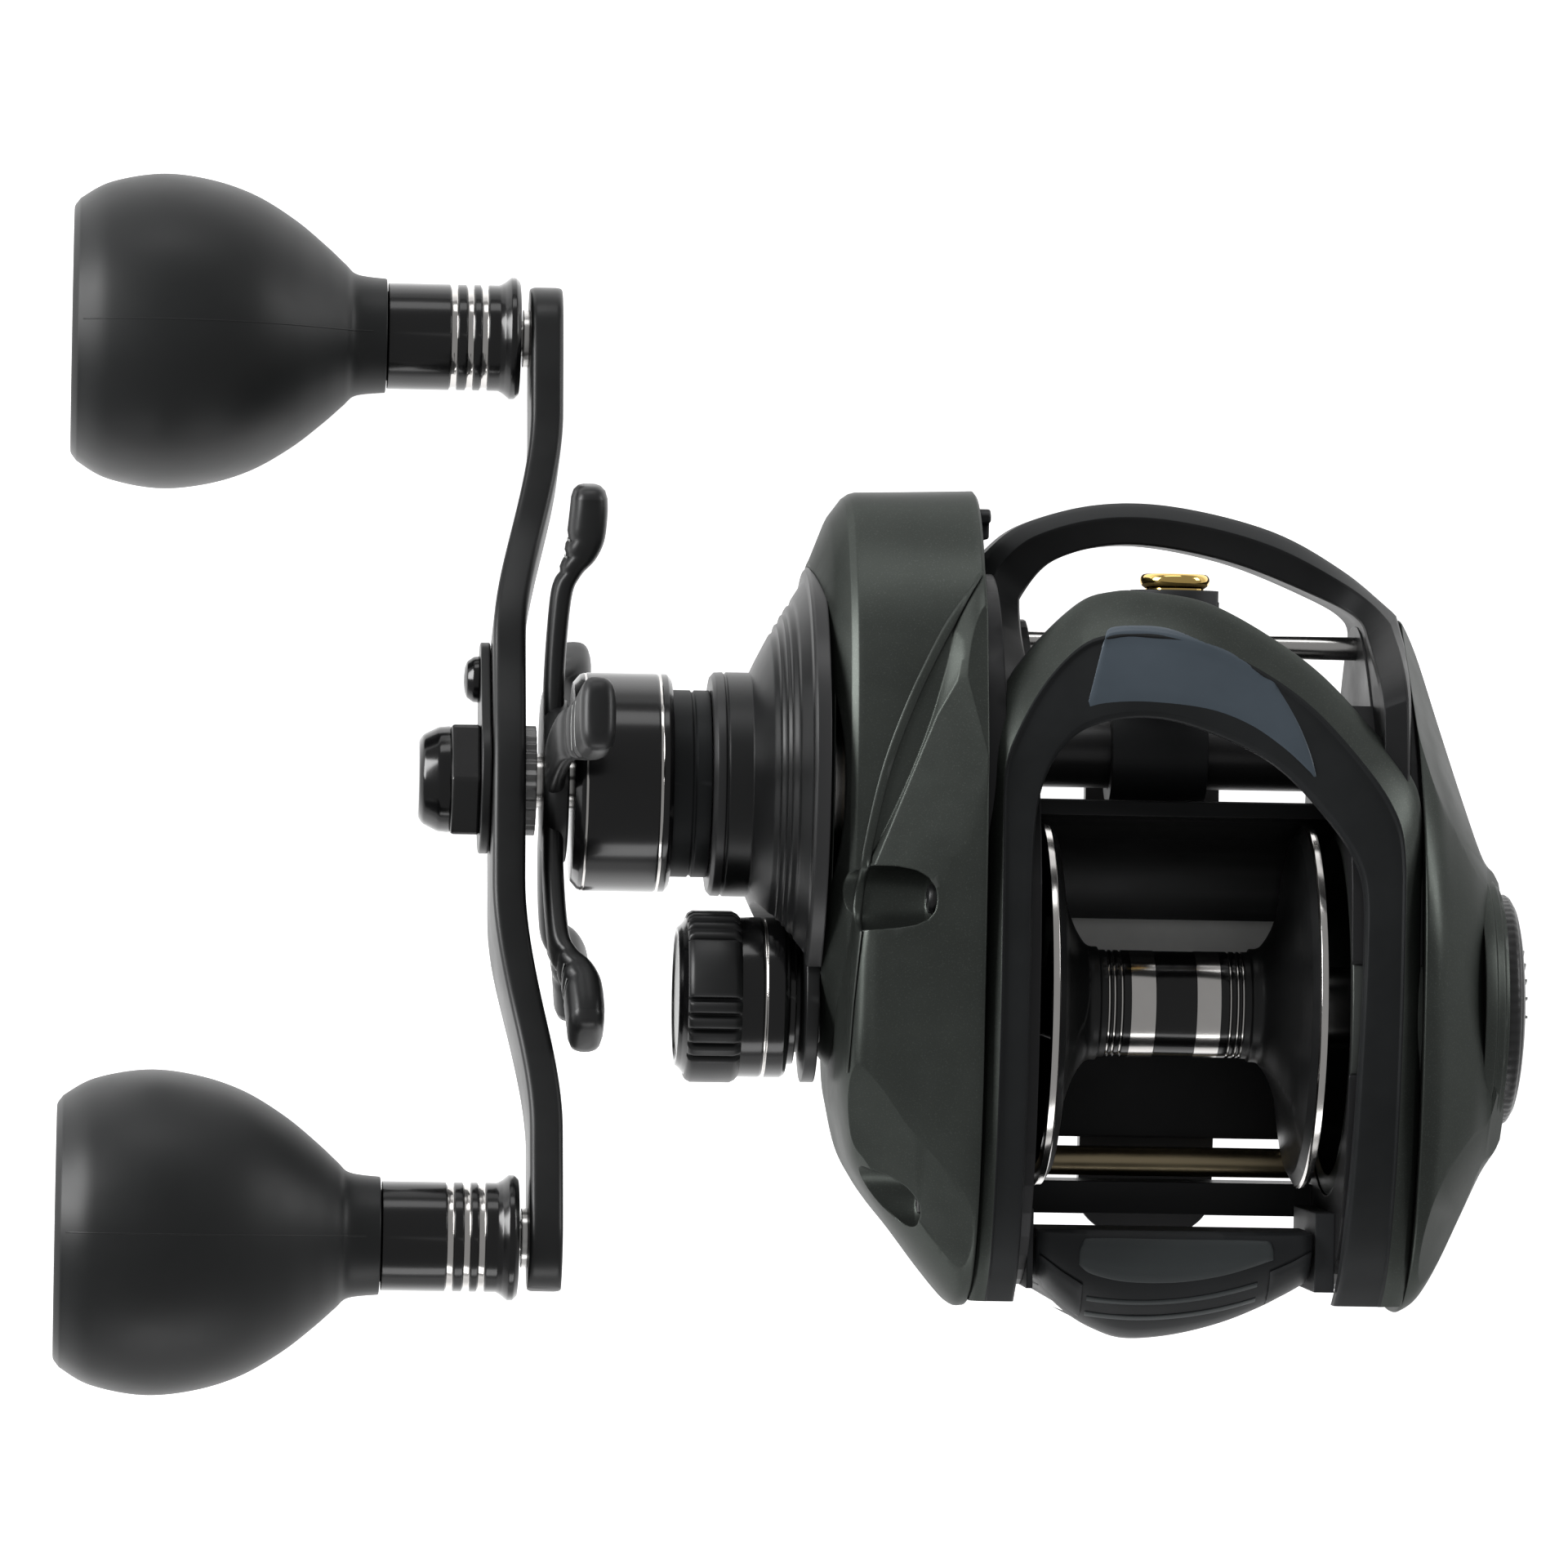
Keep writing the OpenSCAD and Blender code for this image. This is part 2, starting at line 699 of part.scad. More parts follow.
// Turns the pinion so that a gap meets the main gear's tooth
mesh_turn = mesh_angle + 180 + 180 / pinion_teeth;
module clutch_yoke() {
    color(steel)
        difference() {
            translate([-27.9, -5.5, spool_z - 10.4])
                cube([1.1, 10, 20.8]);
            // open-ended slot that holds the pinion's groove
            rod_x(-29, -26, 2.4, 0, spool_z);
            translate([-29, 0, spool_z - 2.4])
                cube([3, 8, 4.8]);
            for (z = [-8.5, 8.5])
                rod_x(-29, -26, 1 + run, -3, spool_z + z);
        }
}
module clutch_cam() {
    color(steel)
        translate([0, 0, spool_z])
            difference() {
                union() {
                    rod_x(-25.2, -24, 7.4, 0, 0, journal_r + gap);
                    translate([-25.2, -15, -3])
                        cube([1.2, 9.5, 6]);
                }
                // slot that takes the link's pin
                translate([-26, -14, -1.15])
                    cube([3, 4, 2.3]);
            }
}
module clutch_link() {
    color(steel) {
        rod_x(-25.4, -22.8, 0.8, -12, spool_z);
        difference() {
            translate([-23.7, -29.6, spool_z - 2])
                cube([1, 19, 4]);
            translate([-24, -20, spool_z - 0.6])
                cube([2, 5, 1.2]);
        }
        translate([-23.7, -29.6, spool_z - 2])
            cube([9, 2.6, 4]);
    }
}
thumb_plan = concat([[-15.3, -24.4], [-15.3, -29.5]],
    open_curve([[-12.4, -32.8], [-9.7, -35], [-5.2, -36.5], [0.1, -36.2],
        [5.4, -34.8], [9.9, -33], [14.4, -30.5]]),
    [[14.8, -24.4]]);
module thumb_bar() {
    color(satin_black)
        difference() {
            intersection() {
                translate([0, 0, 24.4])
                    linear_extrude(15)
                        polygon(thumb_plan);
                along_x(-20, 20)
                    polygon([[-24.4, 24.5], [-24.4, 36.2], [-26, 37.4], [-30, 36.6],
                        [-34.5, 33.6], [-37, 29.5], [-37, 26.5], [-30, 24.5]]);
            }
            // pocket for the link
            translate([-20, -29.7, spool_z - 2.1])
                cube([5.32, 2.8, 4.2]);
        }
}

// ---------- drive ----------
module drive_shaft() {
    color(steel)
        on_drive()
            difference() {
                union() {
                    rod_x(-82, -17.8, shaft_r);
                    rod_x(gear_x1 + 0.05, gear_x1 + 1.2, 7);
                }
                // two flats for the drag plates and sleeve
                for (s = [-1, 1])
                    translate([-54, -4, s > 0 ? shaft_r - 0.5 : -shaft_r - 0.5])
                        cube([17.5, 8, 1]);
            }
}
module kick_wheel() {
    teeth = 8;
    color(steel)
        on_drive()
            difference() {
                along_x(-28.7, -27.5)
                    polygon([for (i = [0 : teeth - 1])
                        for (p = [[9, 0], [9, 10], [7.2, 14], [7.2, 32]])
                            [p[0] * cos(360 * i / teeth + p[1]),
                             p[0] * sin(360 * i / teeth + p[1])]]);
                rod_x(-30, -26, shaft_r);
            }
}
module worm_drive_gear() {
    color(brass)
        on_drive()
            difference() {
                along_x(-26.6, -24.6)
                    rotate(worm_angle)
                        polygon(gear_points(worm_module, worm_drive_teeth));
                rod_x(-30, -23, shaft_r);
            }
}
module drive_sleeve() {
    color(steel)
        on_drive()
            rod_x(-56, cup_x - 1.2, sleeve_r, 0, 0, shaft_r);
}
module pressure_plate() {
    color(steel)
        on_drive()
            rod_x(cup_x - 1.1, cup_x + 0.1, 13.5, 0, 0, shaft_r);
}
module drag_plates() {
    color(steel)
        on_drive()
            for (x = [-36, -34.4])
                rod_x(x, x + 0.6, cup_r - 0.8, 0, 0, shaft_r);
}
module drag_washers() {
    color(carbon)
        on_drive()
            for (x = [-36.85, -35.35, -33.75])
                rod_x(x, x + 0.8, cup_r - 0.05, 0, 0, shaft_r + gap);
}
module spring_washers() {
    color(steel)
        on_drive()
            for (x = [-59.2, -58.2])
                turned([[x, shaft_r], [x + 0.4, shaft_r], [x + 0.8, 6.5], [x + 0.4, 6.5]]);
}
module main_gear() {
    color(brass)
        on_drive()
            difference() {
                union() {
                    along_x(gear_x0, gear_x1)
                        rotate(mesh_angle)
                            polygon(gear_points(gear_module, main_teeth));
                    rod_x(cup_x + 0.2, gear_x0 + 1, cup_r + 1.4);
                }
                rod_x(cup_x - 1, gear_x0 + 1.7, cup_r);
                rod_x(gear_x0, gear_x1 + 1, shaft_r + run);
                for (a = [0 : 60 : 300])
                    rotate([a, 0, 0])
                        rod_x(gear_x0, gear_x1 + 1, 2.6, 11.5);
            }
}
// One curved arm of the star, along +Y
module star_arm() {
    intersection() {
        along_x(-80, -50)
            polygon(concat([[6, -3.6]],
                open_curve([[14, -3.1], [20, -2.9], [26, -3.6], [star_r - 2.5, -4.2],
                    [star_r - 0.4, -2.6], [star_r, 0], [star_r - 0.4, 2.6],
                    [star_r - 2.5, 4.2], [26, 3.6], [20, 2.9], [14, 3.1]]),
                [[6, 3.6]]));
        translate([0, 0, -10])
            linear_extrude(20)
                polygon(concat(
                    open_curve([[star_x - 2, 5], [star_x - 2.2, 12], [star_x - 2.3, 20],
                        [star_x - 0.4, 24.5], [star_x + 0.2, 28], [star_x + 0.6, star_r + 1]]),
                    open_curve([[star_x + 4.6, star_r + 1], [star_x + 4.5, 29],
                        [star_x + 3.6, 25], [star_x - 0.2, 20], [star_x - 0.2, 12],
                        [star_x + 0.7, 5]])));
    }
}
module star_drag() {
    color(satin_black)
        on_drive()
            difference() {
                union() {
                    rod_x(star_x - 2, star_x + 0.85, 9);
                    for (i = [0 : star_arms - 1])
                        rotate([star_turn + 360 * i / star_arms, 0, 0])
                            star_arm();
                }
                rod_x(star_x - 3, star_x + 2, shaft_r + run);
            }
}
module drag_collar() {
    color(satin_black)
        on_drive()
            difference() {
                union() {
                    turned([[collar_x0, 0], [collar_x0, 11.4], [collar_x0 + 0.5, 12],
                        [collar_x1 - 0.5, 12], [collar_x1, 11.4], [collar_x1, 10.3],
                        [collar_end, 10.3], [collar_end, 0]]);
                }
                rod_x(-70, -60, shaft_r + run);
                rod_x(-60, -51, 7);
            }
}
module handle_spacer() {
    color(steel)
        on_drive()
            difference() {
                along_x(spacer_x0, spacer_x1)
                    polygon([for (i = [0 : 59])
                        let (a = 6 * i, r = i % 2 == 0 ? 6 : 5.6)
                        [r * cos(a), r * sin(a)]]);
                rod_x(-73, -69, shaft_r);
            }
}
// Puts a piece on the handle's centre line: local +Y runs to the front knob
module on_handle() {
    on_drive()
        rotate([-handle_tilt, 0, 0])
            children();
}
half_len = handle_len / 2;
module handle_arm() {
    e = half_len + 5.8;
    color(satin_black)
        on_handle()
            difference() {
                intersection() {
                    along_x(-90, -60)
                        polygon(closed_curve([[e, 0], [half_len + 4, 4.2],
                            [half_len - 3, 5.7], [36, 5.4], [18, 7.2], [0, 8.6],
                            [-18, 7.2], [-36, 5.4], [-half_len + 3, 5.7],
                            [-half_len - 4, 4.2], [-e, 0], [-half_len - 4, -4.2],
                            [-half_len + 3, -5.7], [-36, -5.4], [-18, -7.2], [0, -8.6],
                            [18, -7.2], [36, -5.4], [half_len - 3, -5.7],
                            [half_len + 4, -4.2]], 3));
                    translate([0, 0, -12])
                        linear_extrude(24)
                            polygon(concat(arm_line(0), backwards(arm_line(-arm_t))));
                }
                rod_x(-80, -60, shaft_r + 0.02);
                for (s = [-1, 1])
                    rod_x(-80, -60, 2, s * half_len);
            }
}
// Side line of the cranked arm, as (X, Y) points shifted by dx
function arm_line(dx) = [for (y = [-64 : 4 : 64])
    let (t = min(1, max(0, (abs(y) - 14) / 28)))
    [arm_x + arm_end_x * t * t * (3 - 2 * t) + dx, y]];
module handle_nut() {
    color(satin_black)
        on_drive()
            difference() {
                union() {
                    rotate([handle_tilt, 0, 0])
                        translate([-79.4, 0, 0])
                            rotate([0, 90, 0])
                                cylinder(r = 7, h = 3.2, $fn = 6);
                    turned([[nut_x0, 0], [nut_x0, 4.6], [nut_x0 + 1.2, 5.8],
                        [-79.2, 5.8], [-79.2, 0]]);
                }
                rod_x(-82.2, -76, shaft_r);
            }
}
module nut_retainer() {
    color(satin_black)
        on_handle()
            difference() {
                along_x(-76.2, -75.02)
                    union() {
                        circle(r = 8.2);
                        translate([0, -4.2])
                            square([11.5, 8.4]);
                        translate([11.5, 0])
                            circle(r = 4.2);
                    }
                rod_x(-80, -70, shaft_r + 0.02);
                rod_x(-80, -70, 1.25, 11.8);
            }
}
module retainer_screw() {
    color(satin_black)
        on_handle()
            difference() {
                union() {
                    turned([[-77.9, 0], [-77.9, 1.6], [-77.2, 2.4], [-76.22, 2.6],
                        [-76.22, 0]], 11.8);
                    rod_x(-76.3, -75.03, 1.2, 11.8);
                }
                translate([-78.5, 11.8, 0])
                    rotate([0, 90, 0])
                        cylinder(r = 1, h = 1.2, $fn = 6);
            }
}

// ---------- knobs ----------
post_x0 = -119;
flange_x = -71.9;
collar_left = -86.7;
module at_knob(side) {
    on_handle()
        translate([0, side * half_len, 0])
            children();
}
module knob_posts() {
    color(steel)
        for (s = [-1, 1])
            at_knob(s) {
                rod_x(post_x0, arm_x + arm_end_x - arm_t - 0.02, 1.98);
                rod_x(arm_x + arm_end_x - arm_t - 0.03, arm_x + arm_end_x, 1.98);
                rod_x(flange_x + 0.35, arm_x + arm_end_x - arm_t - 0.02, 3.2);
            }
}
module knob_grip(side) {
    x0 = collar_left - knob_len;
    r = knob_d / 2;
    color(satin_black)
        at_knob(side)
            turned(concat([[x0, 0], [x0, 13.9]],
                open_curve([[x0 + 1.2, 15], [x0 + 5, 16.9], [x0 + 9.6, r],
                    [x0 + 16, 16.7], [x0 + 23, 13.8], [x0 + 28, 10.2],
                    [x0 + 31, 7.3], [x0 + knob_len - 0.05, 6]]),
                [[x0 + knob_len - 0.05, 5.02], [x0 + knob_len - 6, 5.02],
                 [x0 + knob_len - 6, 3.5], [post_x0 - 0.6, 3.5], [post_x0 - 0.6, 0]]));
}
module knob_collar(side) {
    color(satin_black)
        at_knob(side)
            turned(concat([[collar_left - 6, 3.5], [collar_left - 6, 5], [collar_left, 5],
                [collar_left, 5.9]],
                [for (x = [-79.2, -77.4, -75.8])
                    for (p = [[-0.35, 5.9], [-0.25, 5.55], [0.25, 5.55], [0.35, 5.9]])
                        [x + p[0], p[1]]],
                [[-73.8, 5.9], [-72.9, 6.8], [-72.3, 6.8], [flange_x, 6.3],
                 [flange_x, 4.4], [-76, 4.4], [-76, 3.5]]));
}
module knob_bearings(side) {
    color(steel)
        at_knob(side)
            for (x = [-117.5, -75.9])
                bearing(x, x + 2.6, 0, 0, 2.03, x < -100 ? 3.49 : 4.39);
}
module front_knob_grip() { knob_grip(1); }
module front_knob_collar() { knob_collar(1); }
module front_knob_bearings() { knob_bearings(1); }
module rear_knob_grip() { knob_grip(-1); }
module rear_knob_collar() { knob_collar(-1); }
module rear_knob_bearings() { knob_bearings(-1); }

// ---------- level wind ----------
module line_guide() {
    color(satin_black)
        difference() {
            translate([guide_x, 0, 0])
                union() {
                    // block on the worm guard
                    rod_x(-5.3, 5.3, 5.8, worm_y, worm_z);
                    // web to the rail and the ring
                    translate([-3.5, worm_y, worm_z - 2.6])
                        cube([7, 13, 5.2]);
                    rod_x(-4.8, 4.8, 2.8, rail_y, rail_z);
                    translate([-4.8, 40.6, rail_z - 1])
                        cube([9.6, 3.4, ring_z - rail_z + 2]);
                    translate([0, 45.2, ring_z])
                        rotate([90, 0, 0])
                            cylinder(r = 4.8, h = 4.6);
                }
            rod_x(-20, 20, guard_out + run, worm_y, worm_z);
            rod_x(-20, 20, rail_r + run, rail_y, rail_z);
            translate([guide_x, 46, ring_z])
                rotate([90, 0, 0])
                    cylinder(r = 3.4, h = 8);
            // hole that the pawl sits in
            translate([guide_x, worm_y, worm_z - 10])
                cylinder(r = 1.7, h = 8);
        }
}
module guide_insert() {
    color(gold)
        translate([guide_x, 47, ring_z])
            rotate([90, 0, 0])
                rotate_extrude()
                    polygon([[ring_hole_r + 0.9, 0], [ring_hole_r + 0.25, 0.35],
                        [ring_hole_r, 0.9], [ring_hole_r, 5.6], [ring_hole_r + 0.3, 6.4],
                        [3.39, 6.4], [3.39, 1.78], [4.3, 1.78], [4.3, 0.8],
                        [4, 0.2], [3.5, 0]]);
}
module guide_pawl() {
    color(brass)
        translate([guide_x, worm_y, 0]) {
            translate([0, 0, worm_z - 6.8])
                cylinder(r = 1.65, h = 2.4);
            translate([0, 0, worm_z - 4.5])
                cylinder(r = 1.1, h = 1.7);
        }
}
module worm_shaft() {
    pitch_x = 5;
    color(steel)
        translate([0, worm_y, worm_z])
            difference() {
                union() {
                    rod_x(-plate_in + 0.5, plate_in + 0.7, worm_r - 0.05);
                    rod_x(-27, 21.6, 1.5);
                }
                // crossing grooves
                for (i = [-2.5 : 1 : 2.5], s = [-1, 1])
                    translate([i * pitch_x, 0, 0])
                        rotate([0, 0, s * 22])
                            rod_x(-0.5, 0.5, 4, 0, 0, 1.9);
            }
}
module worm_gear() {
    color(brass)
        translate([0, worm_y, worm_z])
            difference() {
                along_x(-26.4, -24.8)
                    rotate(worm_angle + 180 + 180 / worm_gear_teeth)
                        polygon(gear_points(worm_module, worm_gear_teeth));
                rod_x(-28, -23, 1.5);
            }
}

// ---------- tension knob ----------
module tension_knob() {
    color(satin_black)
        difference() {
            turned([[-54.5, 0], [-54.5, 6.9], [-54.1, 7.2], [-54.1, 8.6], [-53.6, 9.4],
                [-47.7, 9.4], [-47.1, 8.8], [-42.8, 8.8], [-42.4, 8.4], [-42.4, 7.3],
                [-41.6, 7.3], [-41.6, 6.08], [-50.4, 6.08],
                [-50.4, 2.4], [-51.6, 2.4], [-51.6, 0]], 0, spool_z);
            // flutes between four plain pads
            for (q = [0 : 90 : 270], k = [-2 : 2])
                translate([0, 0, spool_z])
                    rotate([q + 11 * k + 20, 0, 0])
                        rod_x(-55, -47.4, 0.75, 9.6);
        }
}
module tension_pad() {
    color(carbon)
        rod_x(-51.58, -50.3, 2.35, 0, spool_z);
}

// Parts
frame();
reel_foot();
foot_screws();
hood();
hood_inlay();
front_arch();
handle_side_plate();
gear_cover();
side_plate_screws();
roller_clutch();
shaft_bearings();
worm_guard();
worm_bushes();
guide_rail();
rear_rod();
thumb_bar_guides();
yoke_springs();
palm_side_plate();
palm_bearing();
brake_dial();
brake_magnets();
spool();
spool_shaft();
spool_pin();
brake_rotor();
pinion_gear();
clutch_yoke();
clutch_cam();
thumb_bar();
clutch_link();
drive_shaft();
kick_wheel();
worm_drive_gear();
drive_sleeve();
pressure_plate();
drag_plates();
drag_washers();
spring_washers();
main_gear();
star_drag();
drag_collar();
handle_spacer();
handle_arm();
handle_nut();
nut_retainer();
retainer_screw();
knob_posts();
front_knob_grip();
front_knob_collar();
front_knob_bearings();
rear_knob_grip();
rear_knob_collar();
rear_knob_bearings();
line_guide();
guide_insert();
guide_pawl();
worm_shaft();
worm_gear();
tension_knob();
tension_pad();
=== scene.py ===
"""Looks of a low-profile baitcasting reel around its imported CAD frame. Lengths are in
millimetres, and MM turns them into Blender's metres where a mesh is made."""
import json
import math
import bmesh
import bpy
from mathutils import Matrix, Vector
from mathutils.bvhtree import BVHTree


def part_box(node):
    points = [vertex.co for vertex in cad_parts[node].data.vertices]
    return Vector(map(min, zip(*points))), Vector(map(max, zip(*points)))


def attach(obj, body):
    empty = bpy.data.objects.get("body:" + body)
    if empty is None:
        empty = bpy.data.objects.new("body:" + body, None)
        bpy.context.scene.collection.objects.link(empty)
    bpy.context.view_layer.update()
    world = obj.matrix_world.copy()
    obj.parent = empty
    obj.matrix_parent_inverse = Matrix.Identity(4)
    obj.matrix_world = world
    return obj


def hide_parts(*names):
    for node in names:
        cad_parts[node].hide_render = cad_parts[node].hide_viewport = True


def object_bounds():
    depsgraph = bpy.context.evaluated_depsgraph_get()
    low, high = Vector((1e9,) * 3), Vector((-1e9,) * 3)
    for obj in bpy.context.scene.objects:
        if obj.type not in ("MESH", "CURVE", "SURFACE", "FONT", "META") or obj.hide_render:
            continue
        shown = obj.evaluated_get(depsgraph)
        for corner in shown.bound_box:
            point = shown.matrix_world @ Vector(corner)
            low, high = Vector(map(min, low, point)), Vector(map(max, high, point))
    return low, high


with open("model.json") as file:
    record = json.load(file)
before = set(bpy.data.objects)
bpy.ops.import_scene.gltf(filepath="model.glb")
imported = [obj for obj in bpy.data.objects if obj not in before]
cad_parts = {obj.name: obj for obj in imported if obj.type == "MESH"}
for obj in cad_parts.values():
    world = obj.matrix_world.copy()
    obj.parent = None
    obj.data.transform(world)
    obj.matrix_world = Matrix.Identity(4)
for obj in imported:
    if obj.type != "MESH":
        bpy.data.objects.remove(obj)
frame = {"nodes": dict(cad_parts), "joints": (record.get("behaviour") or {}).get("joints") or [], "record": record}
cad_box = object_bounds()
MM = 0.001


def joint(name):
    return next(j for j in frame["joints"] if j["name"] == name)


def axis_yz(name):
    """Where a joint's axis, parallel to X, crosses the YZ plane, in mm."""
    p = joint(name)["pos_m"]
    return p[1] / MM, p[2] / MM


SPOOL = axis_yz("spool_spin")
DRIVE = axis_yz("handle_spin")
FRONT_KNOB = axis_yz("front_knob_spin")
REAR_KNOB = axis_yz("rear_knob_spin")


def span(node, axis):
    """Lowest and highest coordinate of a CAD node along an axis, in mm."""
    low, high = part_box(node)
    return low[axis] / MM, high[axis] / MM


def turned(centre, u, v, turn):
    """(y, z) of a point u out from a centre and v across, after a turn in radians."""
    c, s = math.cos(turn), math.sin(turn)
    return centre[0] + u * c - v * s, centre[1] + u * s + v * c


# ---------- materials ----------
def nodes_of(material):
    material.use_nodes = True
    tree = material.node_tree
    return tree, tree.nodes["Principled BSDF"]


def add(tree, kind, **values):
    node = tree.nodes.new(kind)
    for key, value in values.items():
        if hasattr(node, key):
            setattr(node, key, value)
        else:
            node.inputs[key.replace("_", " ")].default_value = value
    return node


def ramp(tree, source, low, high, a, b):
    """Maps a factor from low..high to the values or colours a..b."""
    node = tree.nodes.new("ShaderNodeValToRGB")
    stops = node.color_ramp.elements
    stops[0].position, stops[1].position = low, high
    for stop, value in zip(stops, (a, b)):
        stop.color = (*value, 1) if isinstance(value, tuple) else (value, value, value, 1)
    tree.links.new(source, node.inputs["Fac"])
    return node.outputs["Color"]


def mixed(tree, factor, a, b):
    node = tree.nodes.new("ShaderNodeMix")
    node.data_type = "RGBA"
    tree.links.new(factor, node.inputs["Factor"])
    for socket, value in ((node.inputs["A"], a), (node.inputs["B"], b)):
        if isinstance(value, tuple):
            socket.default_value = (*value, 1)
        else:
            tree.links.new(value, socket)
    return node.outputs["Result"]


def surface(name, color, rough, metallic=0.0, spread=0.18, patch=90, grain=2600,
            bump=0.15, bump_mm=0.02, lines=None, wear=None, edge_mm=0.25, coat=0.0,
            coat_rough=0.1, specular=0.5, rough_spread=0.08, flake=0.0, rim=1.0):
    """A procedural finish: patchy colour, fine grain, worn edges and softened corners.
    lines is (x, y, z) stretch of turning or brushing marks, in waves per metre."""
    material = bpy.data.materials.new(name)
    tree, shader = nodes_of(material)
    link = tree.links.new
    place = add(tree, "ShaderNodeTexCoord").outputs["Object"]
    broad = add(tree, "ShaderNodeTexNoise", Scale=patch, Detail=4.0, Roughness=0.6)
    link(place, broad.inputs["Vector"])
    dark = tuple(c * (1 - spread) for c in color)
    light = tuple(min(1, c * (1 + spread)) for c in color)
    tint = ramp(tree, broad.outputs["Fac"], 0.3, 0.7, dark, light)
    fine = add(tree, "ShaderNodeTexNoise", Scale=grain, Detail=3.0, Roughness=0.7)
    link(place, fine.inputs["Vector"])
    if flake:
        bright = tuple(min(1, c * (1 + flake)) for c in color)
        spark = ramp(tree, fine.outputs["Fac"], 0.55, 0.75, 0.0, 1.0)
        tint = mixed(tree, spark, tint, bright)
    if wear:
        worn = add(tree, "ShaderNodeNewGeometry").outputs["Pointiness"]
        mask = ramp(tree, worn, 0.53, 0.6, 0.0, 0.6)
        tint = mixed(tree, mask, tint, wear)
    link(tint, shader.inputs["Base Color"])
    link(ramp(tree, broad.outputs["Fac"], 0.25, 0.75, max(0.02, rough - rough_spread),
              min(1, rough + rough_spread)), shader.inputs["Roughness"])
    height = fine.outputs["Fac"]
    if lines:
        stretch = add(tree, "ShaderNodeMapping")
        stretch.inputs["Scale"].default_value = lines
        link(place, stretch.inputs["Vector"])
        marks = add(tree, "ShaderNodeTexNoise", Scale=1.0, Detail=2.0)
        link(stretch.outputs["Vector"], marks.inputs["Vector"])
        height = marks.outputs["Fac"]
    relief = add(tree, "ShaderNodeBump", Strength=bump, Distance=bump_mm * MM)
    link(height, relief.inputs["Height"])
    if edge_mm:
        soft = add(tree, "ShaderNodeBevel", samples=6)
        soft.inputs["Radius"].default_value = edge_mm * MM
        link(soft.outputs["Normal"], relief.inputs["Normal"])
    link(relief.outputs["Normal"], shader.inputs["Normal"])
    shader.inputs["Metallic"].default_value = metallic
    shader.inputs["Specular IOR Level"].default_value = specular
    shader.inputs["Specular Tint"].default_value = (rim, rim, rim, 1)
    shader.inputs["Coat Weight"].default_value = coat
    shader.inputs["Coat Roughness"].default_value = coat_rough
    return material


TURNED = (5200, 260, 260)
BRUSHED = (300, 300, 6000)
GREEN = surface("green_gray_metallic", (0.062, 0.069, 0.063), 0.36, 0.75, 0.12, 60, 5200,
                0.06, wear=(0.13, 0.138, 0.133), specular=0.35, flake=0.6, rim=0.4)
CHARCOAL = surface("charcoal_coat", (0.022, 0.0235, 0.0245), 0.46, 0.3, 0.15, 80, 3800, 0.22,
                   0.015, wear=(0.07, 0.072, 0.075), specular=0.35, rim=0.4)
FRAME_BLACK = surface("frame_black", (0.014, 0.0145, 0.015), 0.36, 0.35, 0.2, 90, 3200, 0.15,
                      wear=(0.05, 0.05, 0.052), specular=0.3, rim=0.3)
# near-white: painted sheen on the front of the frame floor, and the pale centre of the tension knob's face
FLOOR_GRAY = surface("pale_gray", (0.8, 0.805, 0.79), 0.45, 0.0, 0.12, 70, 2600, 0.1)
SATIN = surface("black_anodised", (0.012, 0.0125, 0.013), 0.36, 0.25, 0.2, 70, 3600, 0.2,
                0.012, wear=(0.08, 0.08, 0.082))
GLOSS = surface("black_polished", (0.006, 0.006, 0.0065), 0.2, 0.35, 0.2, 50, 2400, 0.12, 0.006,
                lines=TURNED, wear=(0.07, 0.07, 0.07), coat=0.4, coat_rough=0.12,
                rough_spread=0.05)
RUBBER = surface("soft_touch_black", (0.0105, 0.0115, 0.012), 0.44, 0.0, 0.16, 45, 5200, 0.35,
                 0.012, edge_mm=0, specular=0.42)
PLASTIC = surface("moulded_black", (0.016, 0.0175, 0.019), 0.5, 0.0, 0.15, 80, 2400, 0.4, 0.02,
                  wear=(0.05, 0.052, 0.055), specular=0.25)
PAD = surface("thumb_pad", (0.036, 0.043, 0.045), 0.55, 0.0, 0.1, 80, 2800, 0.6, 0.03)
INLAY = surface("inlay_blue_gray", (0.062, 0.083, 0.105), 0.42, 0.2, 0.08, 70, 5200, 0.1,
                0.008, coat=0.25, coat_rough=0.25)
STEEL = surface("steel", (0.55, 0.54, 0.53), 0.2, 1.0, 0.1, 60, 3000, 0.25, 0.01, lines=TURNED,
                wear=(0.75, 0.74, 0.72))
SILVER = surface("silver_cut", (0.72, 0.7, 0.68), 0.16, 1.0, 0.06, 80, 3000, 0.25, 0.008,
                 lines=TURNED, edge_mm=0)
BRASS = surface("brass", (0.6, 0.43, 0.18), 0.3, 1.0, 0.12, 80, 2600, 0.3, 0.012, lines=TURNED)
BRONZE = surface("bronze_rod", (0.4, 0.33, 0.21), 0.34, 1.0, 0.15, 60, 2600, 0.3, 0.012,
                 lines=BRUSHED, edge_mm=0)
GOLD = surface("gold_ring", (0.86, 0.6, 0.2), 0.1, 1.0, 0.05, 90, 3000, 0.05, edge_mm=0,
               rough_spread=0.03)
CARBON = surface("carbon_disc", (0.03, 0.03, 0.032), 0.5, 0.0, 0.3, 600, 2600, 0.5)
PAINT = surface("pale_line", (0.42, 0.43, 0.42), 0.35, 0.3, 0.08, 90, 3000, 0.1, edge_mm=0)
KNURLED = surface("knurled_steel", (0.13, 0.13, 0.128), 0.38, 1.0, 0.2, 60, 2600, 0.3,
                  lines=(3000, 3000, 3000), wear=(0.3, 0.3, 0.3))

